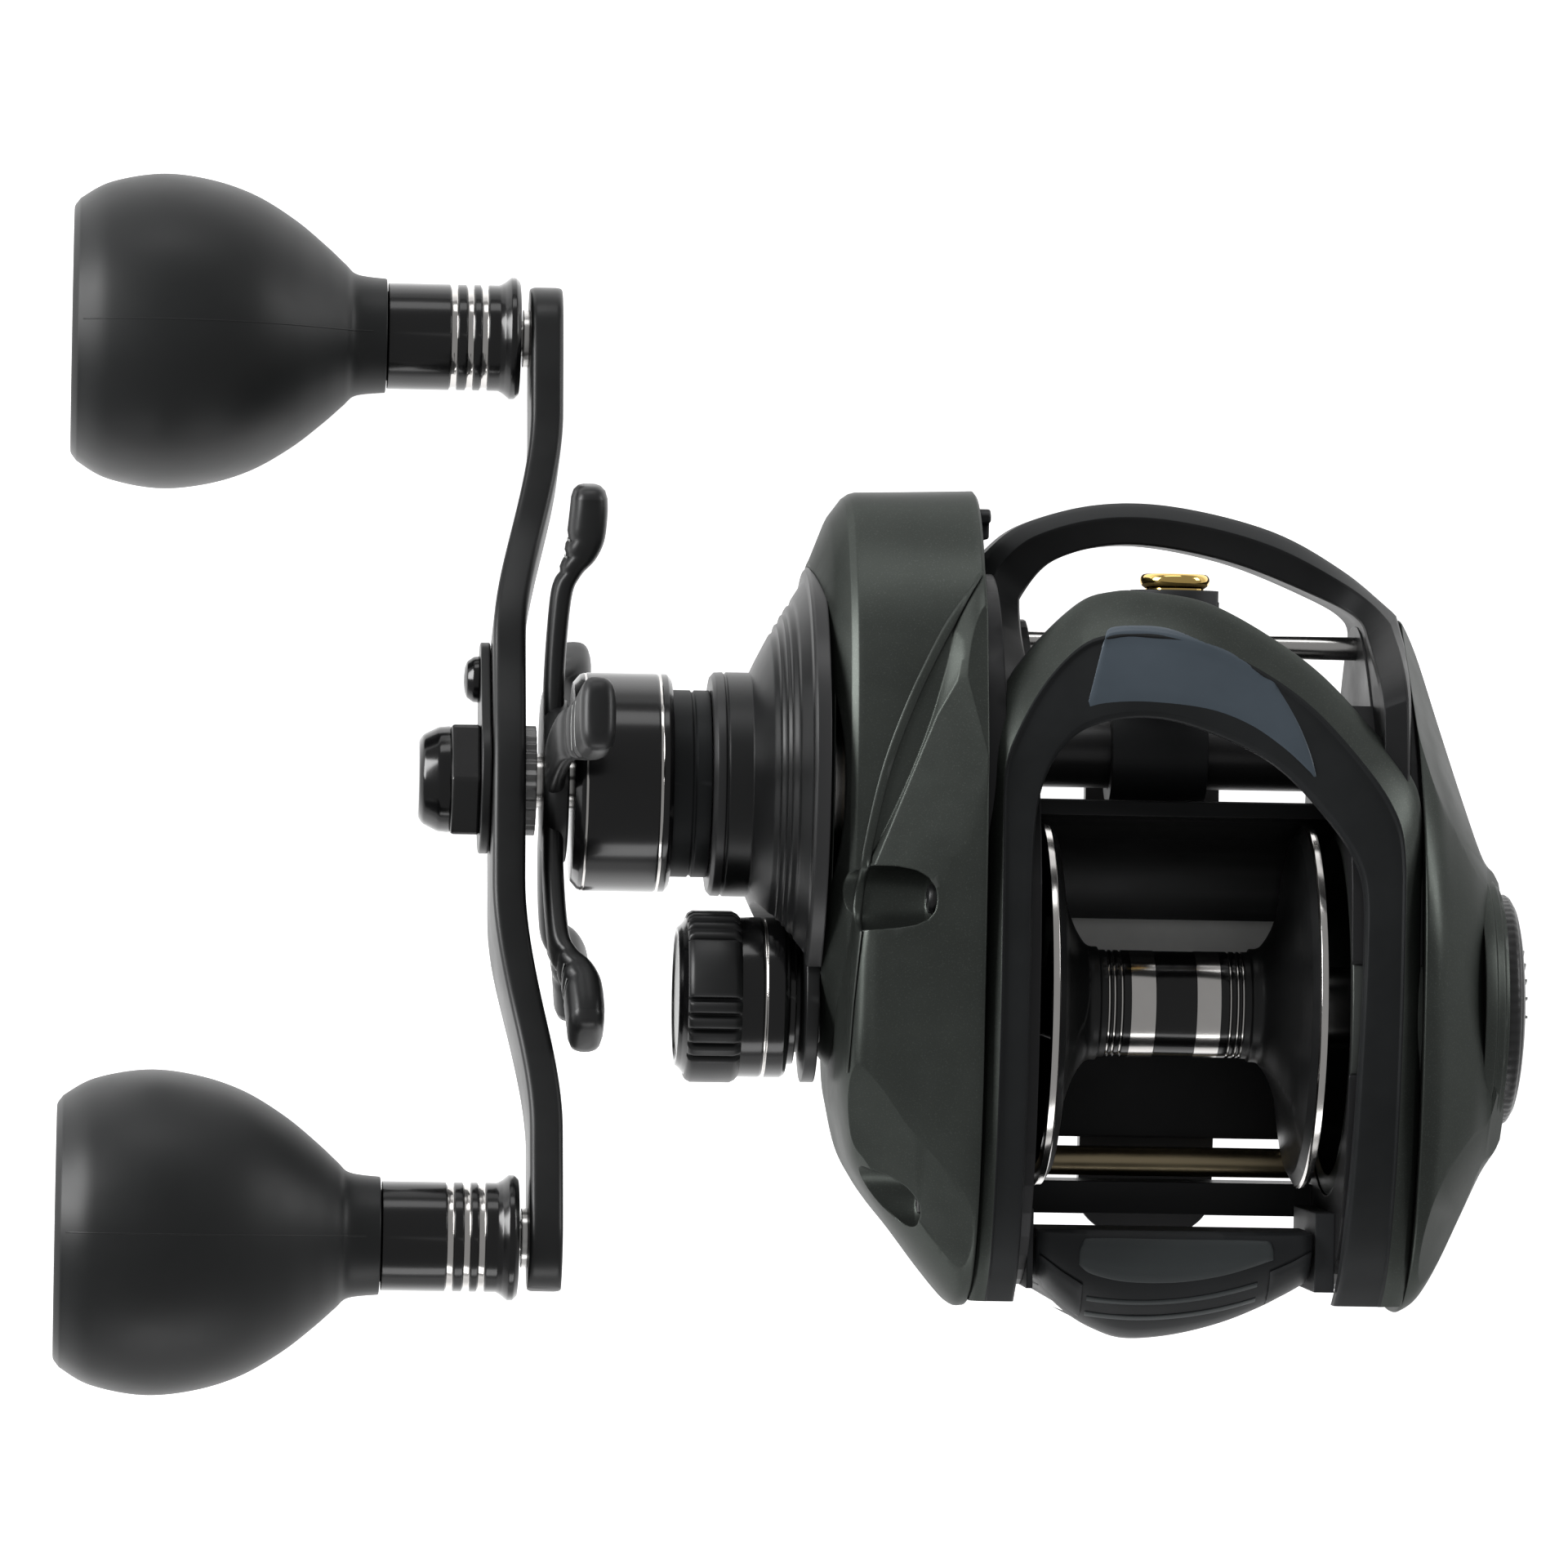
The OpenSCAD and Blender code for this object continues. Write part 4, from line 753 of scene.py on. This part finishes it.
def handle_side():
    """A drum around the gears joined to a faceted shell, hollowed out, with screw recesses."""
    drum = []
    for x, out in ((-40.55, -7.7), (-40.3, -7.2), (-38.75, -3.2), (-38.4, -2.5), (-37, -0.6),
                   (-36.3, -0.1), (-35.6, 0.1), (-30, 0.25), (-24, 0.45), (SEAM_L - 0.35, 0.5),
                   (SEAM_L - 0.02, 0.1)):
        ring = egg(-HOUSING_R - out, HOUSING_R + out, -HOUSING_H - out, HOUSING_H + out, 2.15)
        drum.append([(x, y + DRIVE[0], z * (0.947 if z > 0 else 1) + DRIVE[1] - 0.5)
                     for y, z in ring])
    body = skin("handle_housing", drum, [GREEN], 30)
    shell = egg_rings([
        (-37.6, -11.2, 1, 14, 36, 2.3, 0), (-37.2, -12.6, 5, 9, 42.6, 2.6, 0),
        (-36.1, -17, 16.4, 5.5, 46, 3, 0), (-34.5, -20, 28.4, 3.2, 47.1, 3, 0),
        (-32.8, -22.4, 34.5, 2, 47.5, 3, 0), (-30.3, -25.4, 40.9, 0.6, 47.9, 3, 0),
        (-26.9, -29.8, 46.1, -0.6, 48.4, 3, 0), (-24.1, -33, 49.5, -1.3, 48.8, 3, 0),
        (SEAM_L - 0.4, -33.3, 50.3, -1.4, 48.9, 3.0, 0),
        (SEAM_L - 0.02, -33.1, 50.1, -1.2, 48.7, 3.0, 0)])
    cover = skin("side_shell", shell, [GREEN], 30)
    facet(cover, -28.0, 33, 0.55, (-0.4, 0.1, 0))
    facet(cover, -31.5, 22, 0.5, (-0.3, 0.05, 0))
    facet(cover, -23.4, 34, 0.7, (0.5, 0.05, 0))
    facet(cover, -25.8, 20, 0.35, (-0.16, 0.1, 0))
    facet(cover, -29, -18, 0.5, (-0.1, -0.1, 0))
    combine(body, cover, "UNION")
    cutters = [("chamber", -38.6, -20, 21.5, DRIVE), ("stack", -45, -38, 17, DRIVE),
               ("seat", -45, -39.2, 24.0, DRIVE), ("spigot", -45, -36, 5, SPOOL),
               ("flange", -45, -39.2, 9.35, SPOOL), ("yoke", -36.6, -20, 11, SPOOL)]
    for name, x0, x1, radius, centre in cutters:
        subtract(body, round_x("cutter_" + name, x0, x1, radius, *centre))
    for i, (x, y, z) in enumerate(SCREWS):
        scoop = [(-60, 0, 0), (-60, 3.5, 0), (x - 4.5, 3.5, 0), (x - 2.4, 3.3, 0),
                 (x - 1.1, 2.9, 0), (x - 0.4, 2.4, 0), (x, 1.75, 0), (x, 0, 0)]
        subtract(body, lathe(f"cutter_recess_{i}", scoop, (y, z), [GREEN], 64, 0))
        head = [(x - 0.4, 0, 0), (x - 0.4, 0.8, 0), (x - 1.15, 0.85, 0), (x - 1.2, 1.0, 0),
                (x - 1.0, 1.5, 0), (x - 0.6, 1.68, 0), (x - 0.02, 1.7, 0), (x - 0.02, 1, 0)]
        replaced = ["side_plate_screws"] if i == 0 else []
        place(lathe(f"side_screw_{i}", head, (y, z), [SATIN], 48, 0.05), "frame", "steel",
              *replaced)
    crisp(body, 16)
    edge_line(body)
    place(body, "frame", "green_gray_coat", "handle_side_plate")
    latch()


def edge_line(body):
    """The raised edge of the shell, which sweeps from the front seam to the rear."""
    count = 90
    route = resample(curve_points(
        [(SEAM_L - 0.5, 46.4), (SEAM_L - 2.5, 43.5), (SEAM_L - 5.4, 38.5),
         (SEAM_L - 8.4, 32.1), (SEAM_L - 10.9, 25.1), (SEAM_L - 12.6, 17.2),
         (SEAM_L - 13.6, 9.3), (SEAM_L - 14.2, 0.4), (SEAM_L - 14.4, -7.6)], 8), count)
    left, right = [], []
    for i, (x, y) in enumerate(route):
        a, b = route[max(0, i - 1)], route[min(count - 1, i + 1)]
        reach = math.dist(a, b)
        across = (-(b[1] - a[1]) / reach, (b[0] - a[0]) / reach)
        wide = 0.5 * min(1.0, 0.15 + i / 12, 0.15 + (count - 1 - i) / 30)
        left.append((x - across[0] * wide, y - across[1] * wide))
        right.append((x + across[0] * wide, y + across[1] * wide))
    line = patch("shell_edge", left, right, [GREEN], drape(body), 0.4, 0.3, 6)
    place(line, "frame", "green_gray_coat")


def latch():
    """The small catch at the front of the handle-side plate."""
    outline = [(50.6, 18.6), (53.4, 18.6), (53.9, 19.4), (53.9, 24.6), (53.3, 25.4),
               (52.4, 25.4), (52.2, 23.2), (50.6, 23)]
    place(slab("catch", outline, [CHARCOAL], SEAM_L, SEAM_L + 1.7, bevel=0.3), "frame",
          "charcoal_coat")


def crisp(piece, angle=24):
    piece.data.shade_smooth()
    piece.data.set_sharp_from_angle(angle=math.radians(angle))


def palm_side():
    """A faceted shell over the brake side, its hollow plug, spokes and dial surround."""
    nose = 0.42
    shell = egg_rings([
        (SEAM_R + 0.02, -33.3, 42.4, BOTTOM + 0.2, TOP - 0.2, 2.6, nose),
        (SEAM_R + 0.35, -33.4, 42.4, BOTTOM + 0.1, TOP - 0.1, 2.6, nose),
        (27, -32.2, 38.7, -0.7, TOP - 0.9, 2.6, 0.38), (29, -29.1, 31.9, 1, TOP - 3, 2.5, 0.3),
        (31.5, -23.9, 23.9, 4, TOP - 6, 2.4, 0.2), (34, -18.7, 17, 7.5, TOP - 9.5, 2.3, 0.1),
        (35.4, -15.8, 14.8, 10.4, 42.2, 2.15, 0.03), (35.95, -14.6, 13.9, 11.8, 41.1, 2.1, 0)])
    body = skin("palm_shell", shell, [GREEN], 30)
    facet(body, 28.4, 25, 0.55, (0.1, 0.12, 0))
    facet(body, 31.6, 6, 0.4, (0.12, -0.05, 0))
    facet(body, 30.2, -19, 0.55, (0.1, -0.1, 0))
    plug = round_x("plug", 17.45, 26, 20.53, *SPOOL)
    combine(body, plug, "UNION")
    for name, x0, x1, radius in (("hollow", 16, 27.3, 18.4), ("hollow_end", 27, 30.5, 15),
                                 ("stem", 29, 40, 6), ("pocket", 30, 33.9, 11),
                                 ("recess", 35, 40, 13)):
        subtract(body, round_x("cutter_" + name, x0, x1, radius, *SPOOL))
    crisp(body, 16)
    place(body, "palm", "green_gray_coat", "palm_side_plate")
    surround = [(32.6, 13.05, 0), (32.6, 15.6, 0), (33.9, 15.1, 0), (34.1, 14.6, 0),
                (34.9, 14.3, 0), (35.1, 13.8, 0), (35.5, 13.6, 0), (35.5, 13.05, 0)]
    place(lathe("dial_surround", surround, SPOOL, [GREEN], 160, 0.08), "palm",
          "green_gray_coat")
    for i in range(3):
        spoke = [(4, -1.5), (18.6, -1.5), (18.6, 1.5), (4, 1.5)]
        outline = [turned(SPOOL, u, v, math.radians(120 * i)) for u, v in spoke]
        place(slab(f"palm_spoke_{i}", outline, [SATIN], 24, 26.4, bevel=0.3), "palm",
              "green_gray_coat")
    boss = [(24, 4.02, 0), (24, 5.4, 0), (26.4, 5.4, 0), (26.4, 4.02, 0)]
    place(lathe("palm_boss", boss, SPOOL, [SATIN], 64, 0.15), "palm", "green_gray_coat")


def facet(body, x, y, depth, lean=(0, 0, 0), reach=40):
    """Planes a flat face onto the top of a body around (x, y). lean tips it off the surface."""
    tree = BVHTree.FromObject(body, bpy.context.evaluated_depsgraph_get())
    at, normal = tree.ray_cast(Vector((x * MM, y * MM, 0.09)), Vector((0, 0, -1)))[:2]
    normal = (normal + Vector(lean)).normalized()
    turn = normal.to_track_quat("Z", "Y").to_matrix().to_4x4()
    cutter = slab("plane", [(-reach, -reach), (reach, -reach), (reach, reach), (-reach, reach)],
                  [GREEN], 0, 12, "z", 0)
    cutter.data.transform(Matrix.Translation(at - normal * depth * MM) @ turn)
    subtract(body, cutter)


# ---------- hood, arch, thumb bar ----------
HOOD_LINE = curve_points([(-33.5, 34), (-28, 41.3), (-16, 46.8), (0, TOP), (16, 48.2),
                          (30, 46.4), (40, 43.6), (46, 41.6)], 10)


def hood_height(y):
    """Height of the hood's top line at y."""
    for (a, p), (b, q) in zip(HOOD_LINE, HOOD_LINE[1:]):
        if y <= b:
            return p + (q - p) * max(0.0, (y - a) / (b - a))
    return HOOD_LINE[-1][1]


def resample(points, count):
    """Points at equal distances along an open line."""
    reach = [0.0]
    for a, b in zip(points, points[1:]):
        reach.append(reach[-1] + math.dist(a, b))
    out = []
    k = 0
    for i in range(count):
        want = reach[-1] * i / (count - 1)
        while k < len(points) - 2 and reach[k + 1] < want:
            k += 1
        t = (want - reach[k]) / max(1e-9, reach[k + 1] - reach[k])
        out.append(tuple(p + (q - p) * t for p, q in zip(points[k], points[k + 1])))
    return out


HOOD_REAR = -32.4


def hood():
    """The thumb rest: a horseshoe around the spool's opening, bridged at the front."""
    left, right = SEAM_L + 0.02, SEAM_R - 0.02
    outer_front = curve_points([(left, 29.5), (-21.4, 33), (-17, 39), (-12.1, 43.6),
                                (-8.6, 44.85), (-5, 44.9), (2.6, 43.5), (12.4, 37.6),
                                (19.1, 30.9), (right - 1, 24.9), (right, 20)], 8)
    inner_front = curve_points([(-17.5, 10), (-17, 21.5), (-14.4, 27.7), (-9.9, 30.6),
                                (-2.4, 30.9), (7.5, 27.1), (13.8, 21.4), (18.1, 14.7),
                                (18.5, 6)], 8)
    outer = (resample([(left, HOOD_REAR), (left, 26)], 24)[:-1]
             + resample([(left, 26)] + outer_front, 90)
             + resample([(right, 20), (right, HOOD_REAR)], 24)[1:])
    inner = (resample([(-17.6, HOOD_REAR), (-17.5, 10)], 24)[:-1] + resample(inner_front, 90)
             + resample([(18.5, 6), (17.4, HOOD_REAR)], 24)[1:])
    rings = []
    across = [0, 0.0, 0.03, 0.09, 0.2, 0.33, 0.355, 0.38, 0.45, 0.6, 0.8, 0.9, 0.95, 0.985, 1.0,
              1.0]
    for (ox, oy), (ix, iy) in zip(outer, inner):
        wide = math.dist((ox, oy), (ix, iy))
        bridge = min(1.0, max(0.0, (wide - 6) / 7))
        drop = 1.0 + 1.6 * bridge
        thick = 2.6 if wide < 7 else 3.3
        ring = []
        for t in across:
            x, y = ox + (ix - ox) * t, oy + (iy - oy) * t
            z = hood_height(y) - 0.05
            z -= drop * max(0.0, 1 - t / 0.34) + 0.5 * max(0.0, 1 - t / 0.09) ** 2
            if t > 0.36:
                z -= 0.3
            edge_fall = max(0.0, (t - 0.93) / 0.07)
            z -= 0.55 * edge_fall ** 2
            ring.append((x, y, z))
        floor_o = hood_height(oy) - thick - drop * 0.75
        floor_i = hood_height(iy) - thick
        ring[0] = (ox, oy, floor_o)
        ring[-1] = (ix, iy, floor_i)
        rings.append(ring)
    body = skin("hood_cover", rings, [CHARCOAL, GREEN], 28,
                look_of=lambda i, k: 1 if 1 <= k < 5 else 0)
    subtract_open(body)
    inlay(drape(body))
    place(body, "frame", "charcoal_coat", "hood")


def subtract_open(body):
    """Clears the way for the spool's opening."""
    subtract(body, round_x("cutter_opening", 16.4, SEAM_R + 1, 20.7, *SPOOL))
    crisp(body, 14)


def drape(piece):
    """The height of a piece's top, in mm, over a point in mm."""
    tree = BVHTree.FromObject(piece, bpy.context.evaluated_depsgraph_get())

    def height(x, y):
        hit = tree.ray_cast(Vector((x * MM, y * MM, 0.09)), Vector((0, 0, -1)))[0]
        return hit.z / MM if hit else 0
    return height


def patch(name, near, far, looks, height, rise, depth, steps=10):
    """A thin plate between two lines of (x, y) points that lies on a surface."""
    count = len(near)
    rings = []
    for i, (a, b) in enumerate(zip(near, far)):
        top, low = [], []
        for k in range(steps + 1):
            t = k / steps
            x, y = a[0] + (b[0] - a[0]) * t, a[1] + (b[1] - a[1]) * t
            z = height(x, y)
            rim = k in (0, steps) or i in (0, count - 1)
            top.append((x, y, z + (rise - 0.12 if rim else rise)))
            low.append((x, y, z - depth))
        rings.append(top + low[::-1])
    return skin(name, rings, looks, 50)


def inlay(height):
    front = curve_points([(-9.7, 40.2), (-9.1, 41.0), (-6.5, 41.3), (-2.5, 41.0), (3.7, 38.9),
                          (8.0, 35.9), (10.8, 31.6), (12.4, 27.8), (13.1, 25.1)], 6)
    back = curve_points([(-11.9, 32.0), (-9.5, 32.6), (-5, 32.8), (1.2, 32.2), (5.8, 30.6),
                         (9.5, 28.2), (12.2, 25.8), (12.8, 25.1)], 6)
    plate = patch("hood_badge", resample(front, 60), resample(back, 60), [INLAY], height,
                  0.1, 0.5)
    place(plate, "frame", "inlay_blue", "hood_inlay")


def arch():
    """The guard that bows in front of the line guide."""
    outer = [(SEAM_L + 0.05, 43.5), (SEAM_L + 0.1, 46)] + curve_points(
        [(-21, 49), (-17, 52.3), (-9, 54.7), (0, 54.75), (11.1, 52.2), (19.3, 47.8),
         (24.4, 43.2)], 8)
    inner = [(-17.4, 24), (-17.4, 40)] + curve_points(
        [(-17.1, 44.2), (-13.3, 48.5), (-5.2, 50.4), (5.7, 48.8), (15.7, 45.1), (20.0, 42.6),
         (20.6, 40)], 8) + [(20.6, 24)]
    outer = resample([(SEAM_L + 0.05, 24)] + outer + [(24.8, 40), (24.95, 24)], 140)
    inner = resample(inner, 140)
    rings = []
    for o, i in zip(outer, inner):
        mid_y = (o[1] + i[1]) / 2
        low = 7.3 + 0.25 * max(0, mid_y - 29)
        rise = max(0.0, min(1.0, (48 - mid_y) / 15))
        high = 21.2 + (hood_height(mid_y) - 23.5) * rise * rise * (3 - 2 * rise)
        ring = []
        for t, h in ((0, 0), (0, 0.7), (0.1, 0.82), (0.34, 0.99), (0.4, 1), (0.96, 1),
                     (1, 0.96), (1, 0.03), (0.94, 0)):
            ring.append((o[0] + (i[0] - o[0]) * t, o[1] + (i[1] - o[1]) * t,
                         low + (high - low) * h))
        rings.append(ring)
    # painted light and shade: the outer wall and chamfer faces take the lighter charcoal coat as painted light,
    # the flat top and inner faces the darker frame black as painted shade
    body = skin("front_guard", rings, [FRAME_BLACK, CHARCOAL], 14,
                look_of=lambda i, k: 1 if k < 3 else 0)
    place(body, "frame", "charcoal_coat", "front_arch")


def thumb_rest():
    x0, x1 = span("thumb_bar", 0)
    back, front = span("thumb_bar", 1)
    rear_line = curve_points([(x0 + 0.05, -29.3), (-13.6, -31.7), (-11.2, -33.9), (-8.4, -35.5),
                              (-5, back + 0.05), (0, -36.15), (5.4, -34.8), (10, -32.9),
                              (x1 - 0.05, -30.2)], 8)
    rear_line = resample(rear_line, 72)
    rings = []
    for x, y1 in rear_line:
        ring = []
        side = min(1.0, min(x - x0, x1 - x) / 1.6)
        lift = math.sqrt(max(0.0, 1 - (1 - side) ** 2))
        top = 37.3 - 0.9 * (1 - lift)
        depth = front - y1
        for u, z in ((0, 24.6), (0, 34.6), (0.0, top - 1.0), (0.05, top - 0.35),
                     (0.16, top - 0.02), (0.3, top), (0.46, top - 0.4), (0.62, top - 1.1),
                     (0.78, top - 2.3), (0.9, top - 3.9), (0.975, top - 6), (1, top - 8.2),
                     (0.99, top - 10.2), (0.9, 25.6), (0.75, 24.6)):
            ring.append((x, front - 0.02 - u * (depth - 0.02), z))
        rings.append(ring)
    bar = skin("thumb_lever", rings, [PLASTIC], 35)
    height = drape(bar)
    place(bar, "thumb", "black_plastic", "thumb_bar")
    thumb_details(height)


def thumb_details(height):
    """The raised pad, the two wings beside it and the two ribs behind it."""
    near = curve_points([(-10.7, -26.6), (-10.3, -25.7), (-9.2, -25.3), (0, -25.3),
                         (9.2, -25.3), (10.2, -25.7), (10.5, -26.3)], 6)
    far = curve_points([(-10.7, -28.2), (-9.3, -29.2), (-5.5, -30.0), (0, -30.0),
                        (5.4, -29.1), (10.5, -27.4)], 6)
    pad = patch("thumb_pad_raised", resample(near, 48), resample(far, 48), [PAD], height,
                0.16, 0.4)
    place(pad, "thumb", "black_plastic")
    wings = (([(-15.3, -26.9), (-12.5, -29.0), (-10.2, -30.4)],
              [(-15.4, -30.2), (-13.2, -32.2), (-10.2, -34.6)]),
             ([(10.2, -28.7), (12.6, -27.6), (15.0, -26.2)],
              [(10.2, -33.0), (12.6, -31.8), (15.0, -30.4)]))
    for i, (near, far) in enumerate(wings):
        wing = patch(f"thumb_wing_{i}", resample(near, 16), resample(far, 16), [PLASTIC],
                     height, 0.35, 0.4, 8)
        place(wing, "thumb", "black_plastic")
    for i, drop in enumerate((2.4, 4.1)):
        near, far = [], []
        for j in range(41):
            x = -9.7 + 18.6 * j / 40
            y = -29.9 - drop + 0.0125 * (x + 3.5) ** 2 + 0.02 * (x + 3.5)
            near.append((x, y + 0.26))
            far.append((x, y - 0.26))
        rib = patch(f"thumb_rib_{i}", near, far, [PAD], height, 0.2, 0.4, 4)
        place(rib, "thumb", "black_plastic")


# ---------- level wind ----------
def guide_ring():
    y1 = span("guide_insert", 1)[1]
    x = sum(span("guide_insert", 0)) / 2
    z = sum(span("guide_insert", 2)) / 2
    hole = 2.6
    section = []
    for i in range(25):
        a = math.radians(-60 + 300 * i / 24)
        section.append((-0.75 + 0.73 * math.sin(a), hole + 0.62 - 0.6 * math.cos(a), 0))
    profile = ([(-6.3, hole + 0.3, 0), (-5.6, hole + 0.02, 0), (-1.6, hole + 0.02, 0)]
               + section[2:] + [(-1.6, 3.2, 0), (-6.3, 3.2, 0)])
    ring = lathe("gold_ring", profile, (0, 0), [GOLD], 96, 0)
    turn = Matrix.Translation((x * MM, y1 * MM, z * MM)) @ Matrix.Rotation(math.pi / 2, 4, "Z")
    ring.data.transform(turn)
    place(ring, "line_guide", "gold_ring", "guide_insert")


def frame_floor():
    """The floor under the spool; its front part is near-white as painted sheen."""
    top = max(5.1, span("foot_screws", 2)[1] + 0.05)
    left, right = -16.2, 17.2
    # the rear part keeps the frame's black; the front part is near-white as painted sheen
    for name, back, front, look in (("floor_plate", -15.3, 1, FRAME_BLACK),
                                    ("floor_painted_sheen", 1, 12.1, FLOOR_GRAY)):
        outline = [(left, back), (right, back), (right, front), (left, front)]
        place(slab(name, outline, [look], 4.9, top, "z", 0.04), "frame", "charcoal_coat")


# ---------- stage ----------
# the camera looks down: its distance in metres, lean to the left and roll, aim and lens
VIEW_FROM = 1.1
LEAN = math.radians(3.9)
ROLL = math.radians(1.05)
AIM = Vector((-0.0430, 0.02335, 0.0264))
LENS = 231.0
# name, place, aim, width and height in metres, watts
LAMPS = [
    ("key_left", (-0.8, 0.3, 0.3), (-0.03, 0.02, 0.02), 0.5, 0.35, 6.8),
    ("key_right", (0.8, 0.35, 0.22), (0.0, 0.02, 0.02), 0.4, 0.25, 1.8),
    ("front", (-0.1, 0.75, 0.26), (-0.03, 0.02, 0.02), 0.5, 0.22, 0.8),
    ("rear", (0.0, -0.7, 0.2), (0.0, 0.0, 0.02), 0.6, 0.2, 1.1),
]
SKY_STRENGTH = 0.3
FLOOR_HALF = 6.0
FLOOR_GAP = 0.004
GLOW = 0.85
DIM_GLOW = 0.1


def camera_and_light():
    back = Vector((-math.sin(LEAN), 0, math.cos(LEAN)))
    flat = Vector((math.cos(LEAN), 0, math.sin(LEAN)))
    ahead = Vector((0, 1, 0))
    right = flat * math.cos(ROLL) + ahead * math.sin(ROLL)
    up = ahead * math.cos(ROLL) - flat * math.sin(ROLL)
    turn = Matrix((right, up, back)).transposed().to_4x4()
    data = bpy.data.cameras.new("camera")
    data.lens = LENS
    data.sensor_width = 36
    data.clip_start = 0.05
    camera = bpy.data.objects.new("camera", data)
    camera.matrix_world = Matrix.Translation(AIM + back * VIEW_FROM) @ turn
    bpy.context.scene.collection.objects.link(camera)
    bpy.context.scene.camera = camera
    for values in LAMPS:
        lamp(*values)
    bpy.context.scene.view_settings.view_transform = "Standard"
    world = bpy.data.worlds.new("studio")
    world.use_nodes = True
    sky = world.node_tree.nodes["Background"]
    sky.inputs["Color"].default_value = (1, 1, 1, 1)
    sky.inputs["Strength"].default_value = SKY_STRENGTH
    bpy.context.scene.world = world


def lamp(name, at, to, wide, tall, watts):
    data = bpy.data.lights.new(name, "AREA")
    data.shape = "RECTANGLE"
    data.size, data.size_y = wide, tall
    data.energy = watts
    light = bpy.data.objects.new(name, data)
    light.location = at
    light.rotation_euler = (Vector(to) - Vector(at)).to_track_quat("-Z", "Y").to_euler()
    bpy.context.scene.collection.objects.link(light)


def floor():
    """A pale floor that glows white under the object and dims away from it."""
    low = cad_box[0][2] - FLOOR_GAP
    mesh = bpy.data.meshes.new("floor")
    corners = [(FLOOR_HALF * a, FLOOR_HALF * b, low)
               for a, b in ((-1, -1), (1, -1), (1, 1), (-1, 1))]
    mesh.from_pydata(corners, [], [(0, 1, 2, 3)])
    material = bpy.data.materials.new("pale_floor")
    tree, shader = nodes_of(material)
    place_ = add(tree, "ShaderNodeTexCoord").outputs["Object"]
    mottle = add(tree, "ShaderNodeTexNoise", Scale=3.0, Detail=2.0)
    tree.links.new(place_, mottle.inputs["Vector"])
    tree.links.new(ramp(tree, mottle.outputs["Fac"], 0.2, 0.8, (0.9, 0.9, 0.9),
                        (0.93, 0.93, 0.93)), shader.inputs["Base Color"])
    shader.inputs["Roughness"].default_value = 0.9
    shader.inputs["Emission Color"].default_value = (1, 1, 1, 1)
    offset = add(tree, "ShaderNodeMapping")
    offset.inputs["Location"].default_value = (0.04, -0.0233, 0)
    tree.links.new(place_, offset.inputs["Vector"])
    away = add(tree, "ShaderNodeVectorMath", operation="ABSOLUTE")
    tree.links.new(offset.outputs["Vector"], away.inputs[0])
    parts = add(tree, "ShaderNodeSeparateXYZ")
    tree.links.new(away.outputs["Vector"], parts.inputs["Vector"])
    far = add(tree, "ShaderNodeMath", operation="MAXIMUM")
    tree.links.new(parts.outputs["X"], far.inputs[0])
    tree.links.new(parts.outputs["Y"], far.inputs[1])
    tree.links.new(ramp(tree, far.outputs["Value"], 0.093, 0.18, GLOW, DIM_GLOW),
                   shader.inputs["Emission Strength"])
    mesh.materials.append(material)
    piece = bpy.data.objects.new("floor", mesh)
    bpy.context.scene.collection.objects.link(piece)


camera_and_light()
floor()
dress_cad()
for side, centre in (("front", FRONT_KNOB), ("rear", REAR_KNOB)):
    knob(side, centre)
handle()
star()
gear_cover()
tension_knob()
brake_dial()
spool()
handle_side()
palm_side()
hood()
arch()
thumb_rest()
guide_ring()
frame_floor()
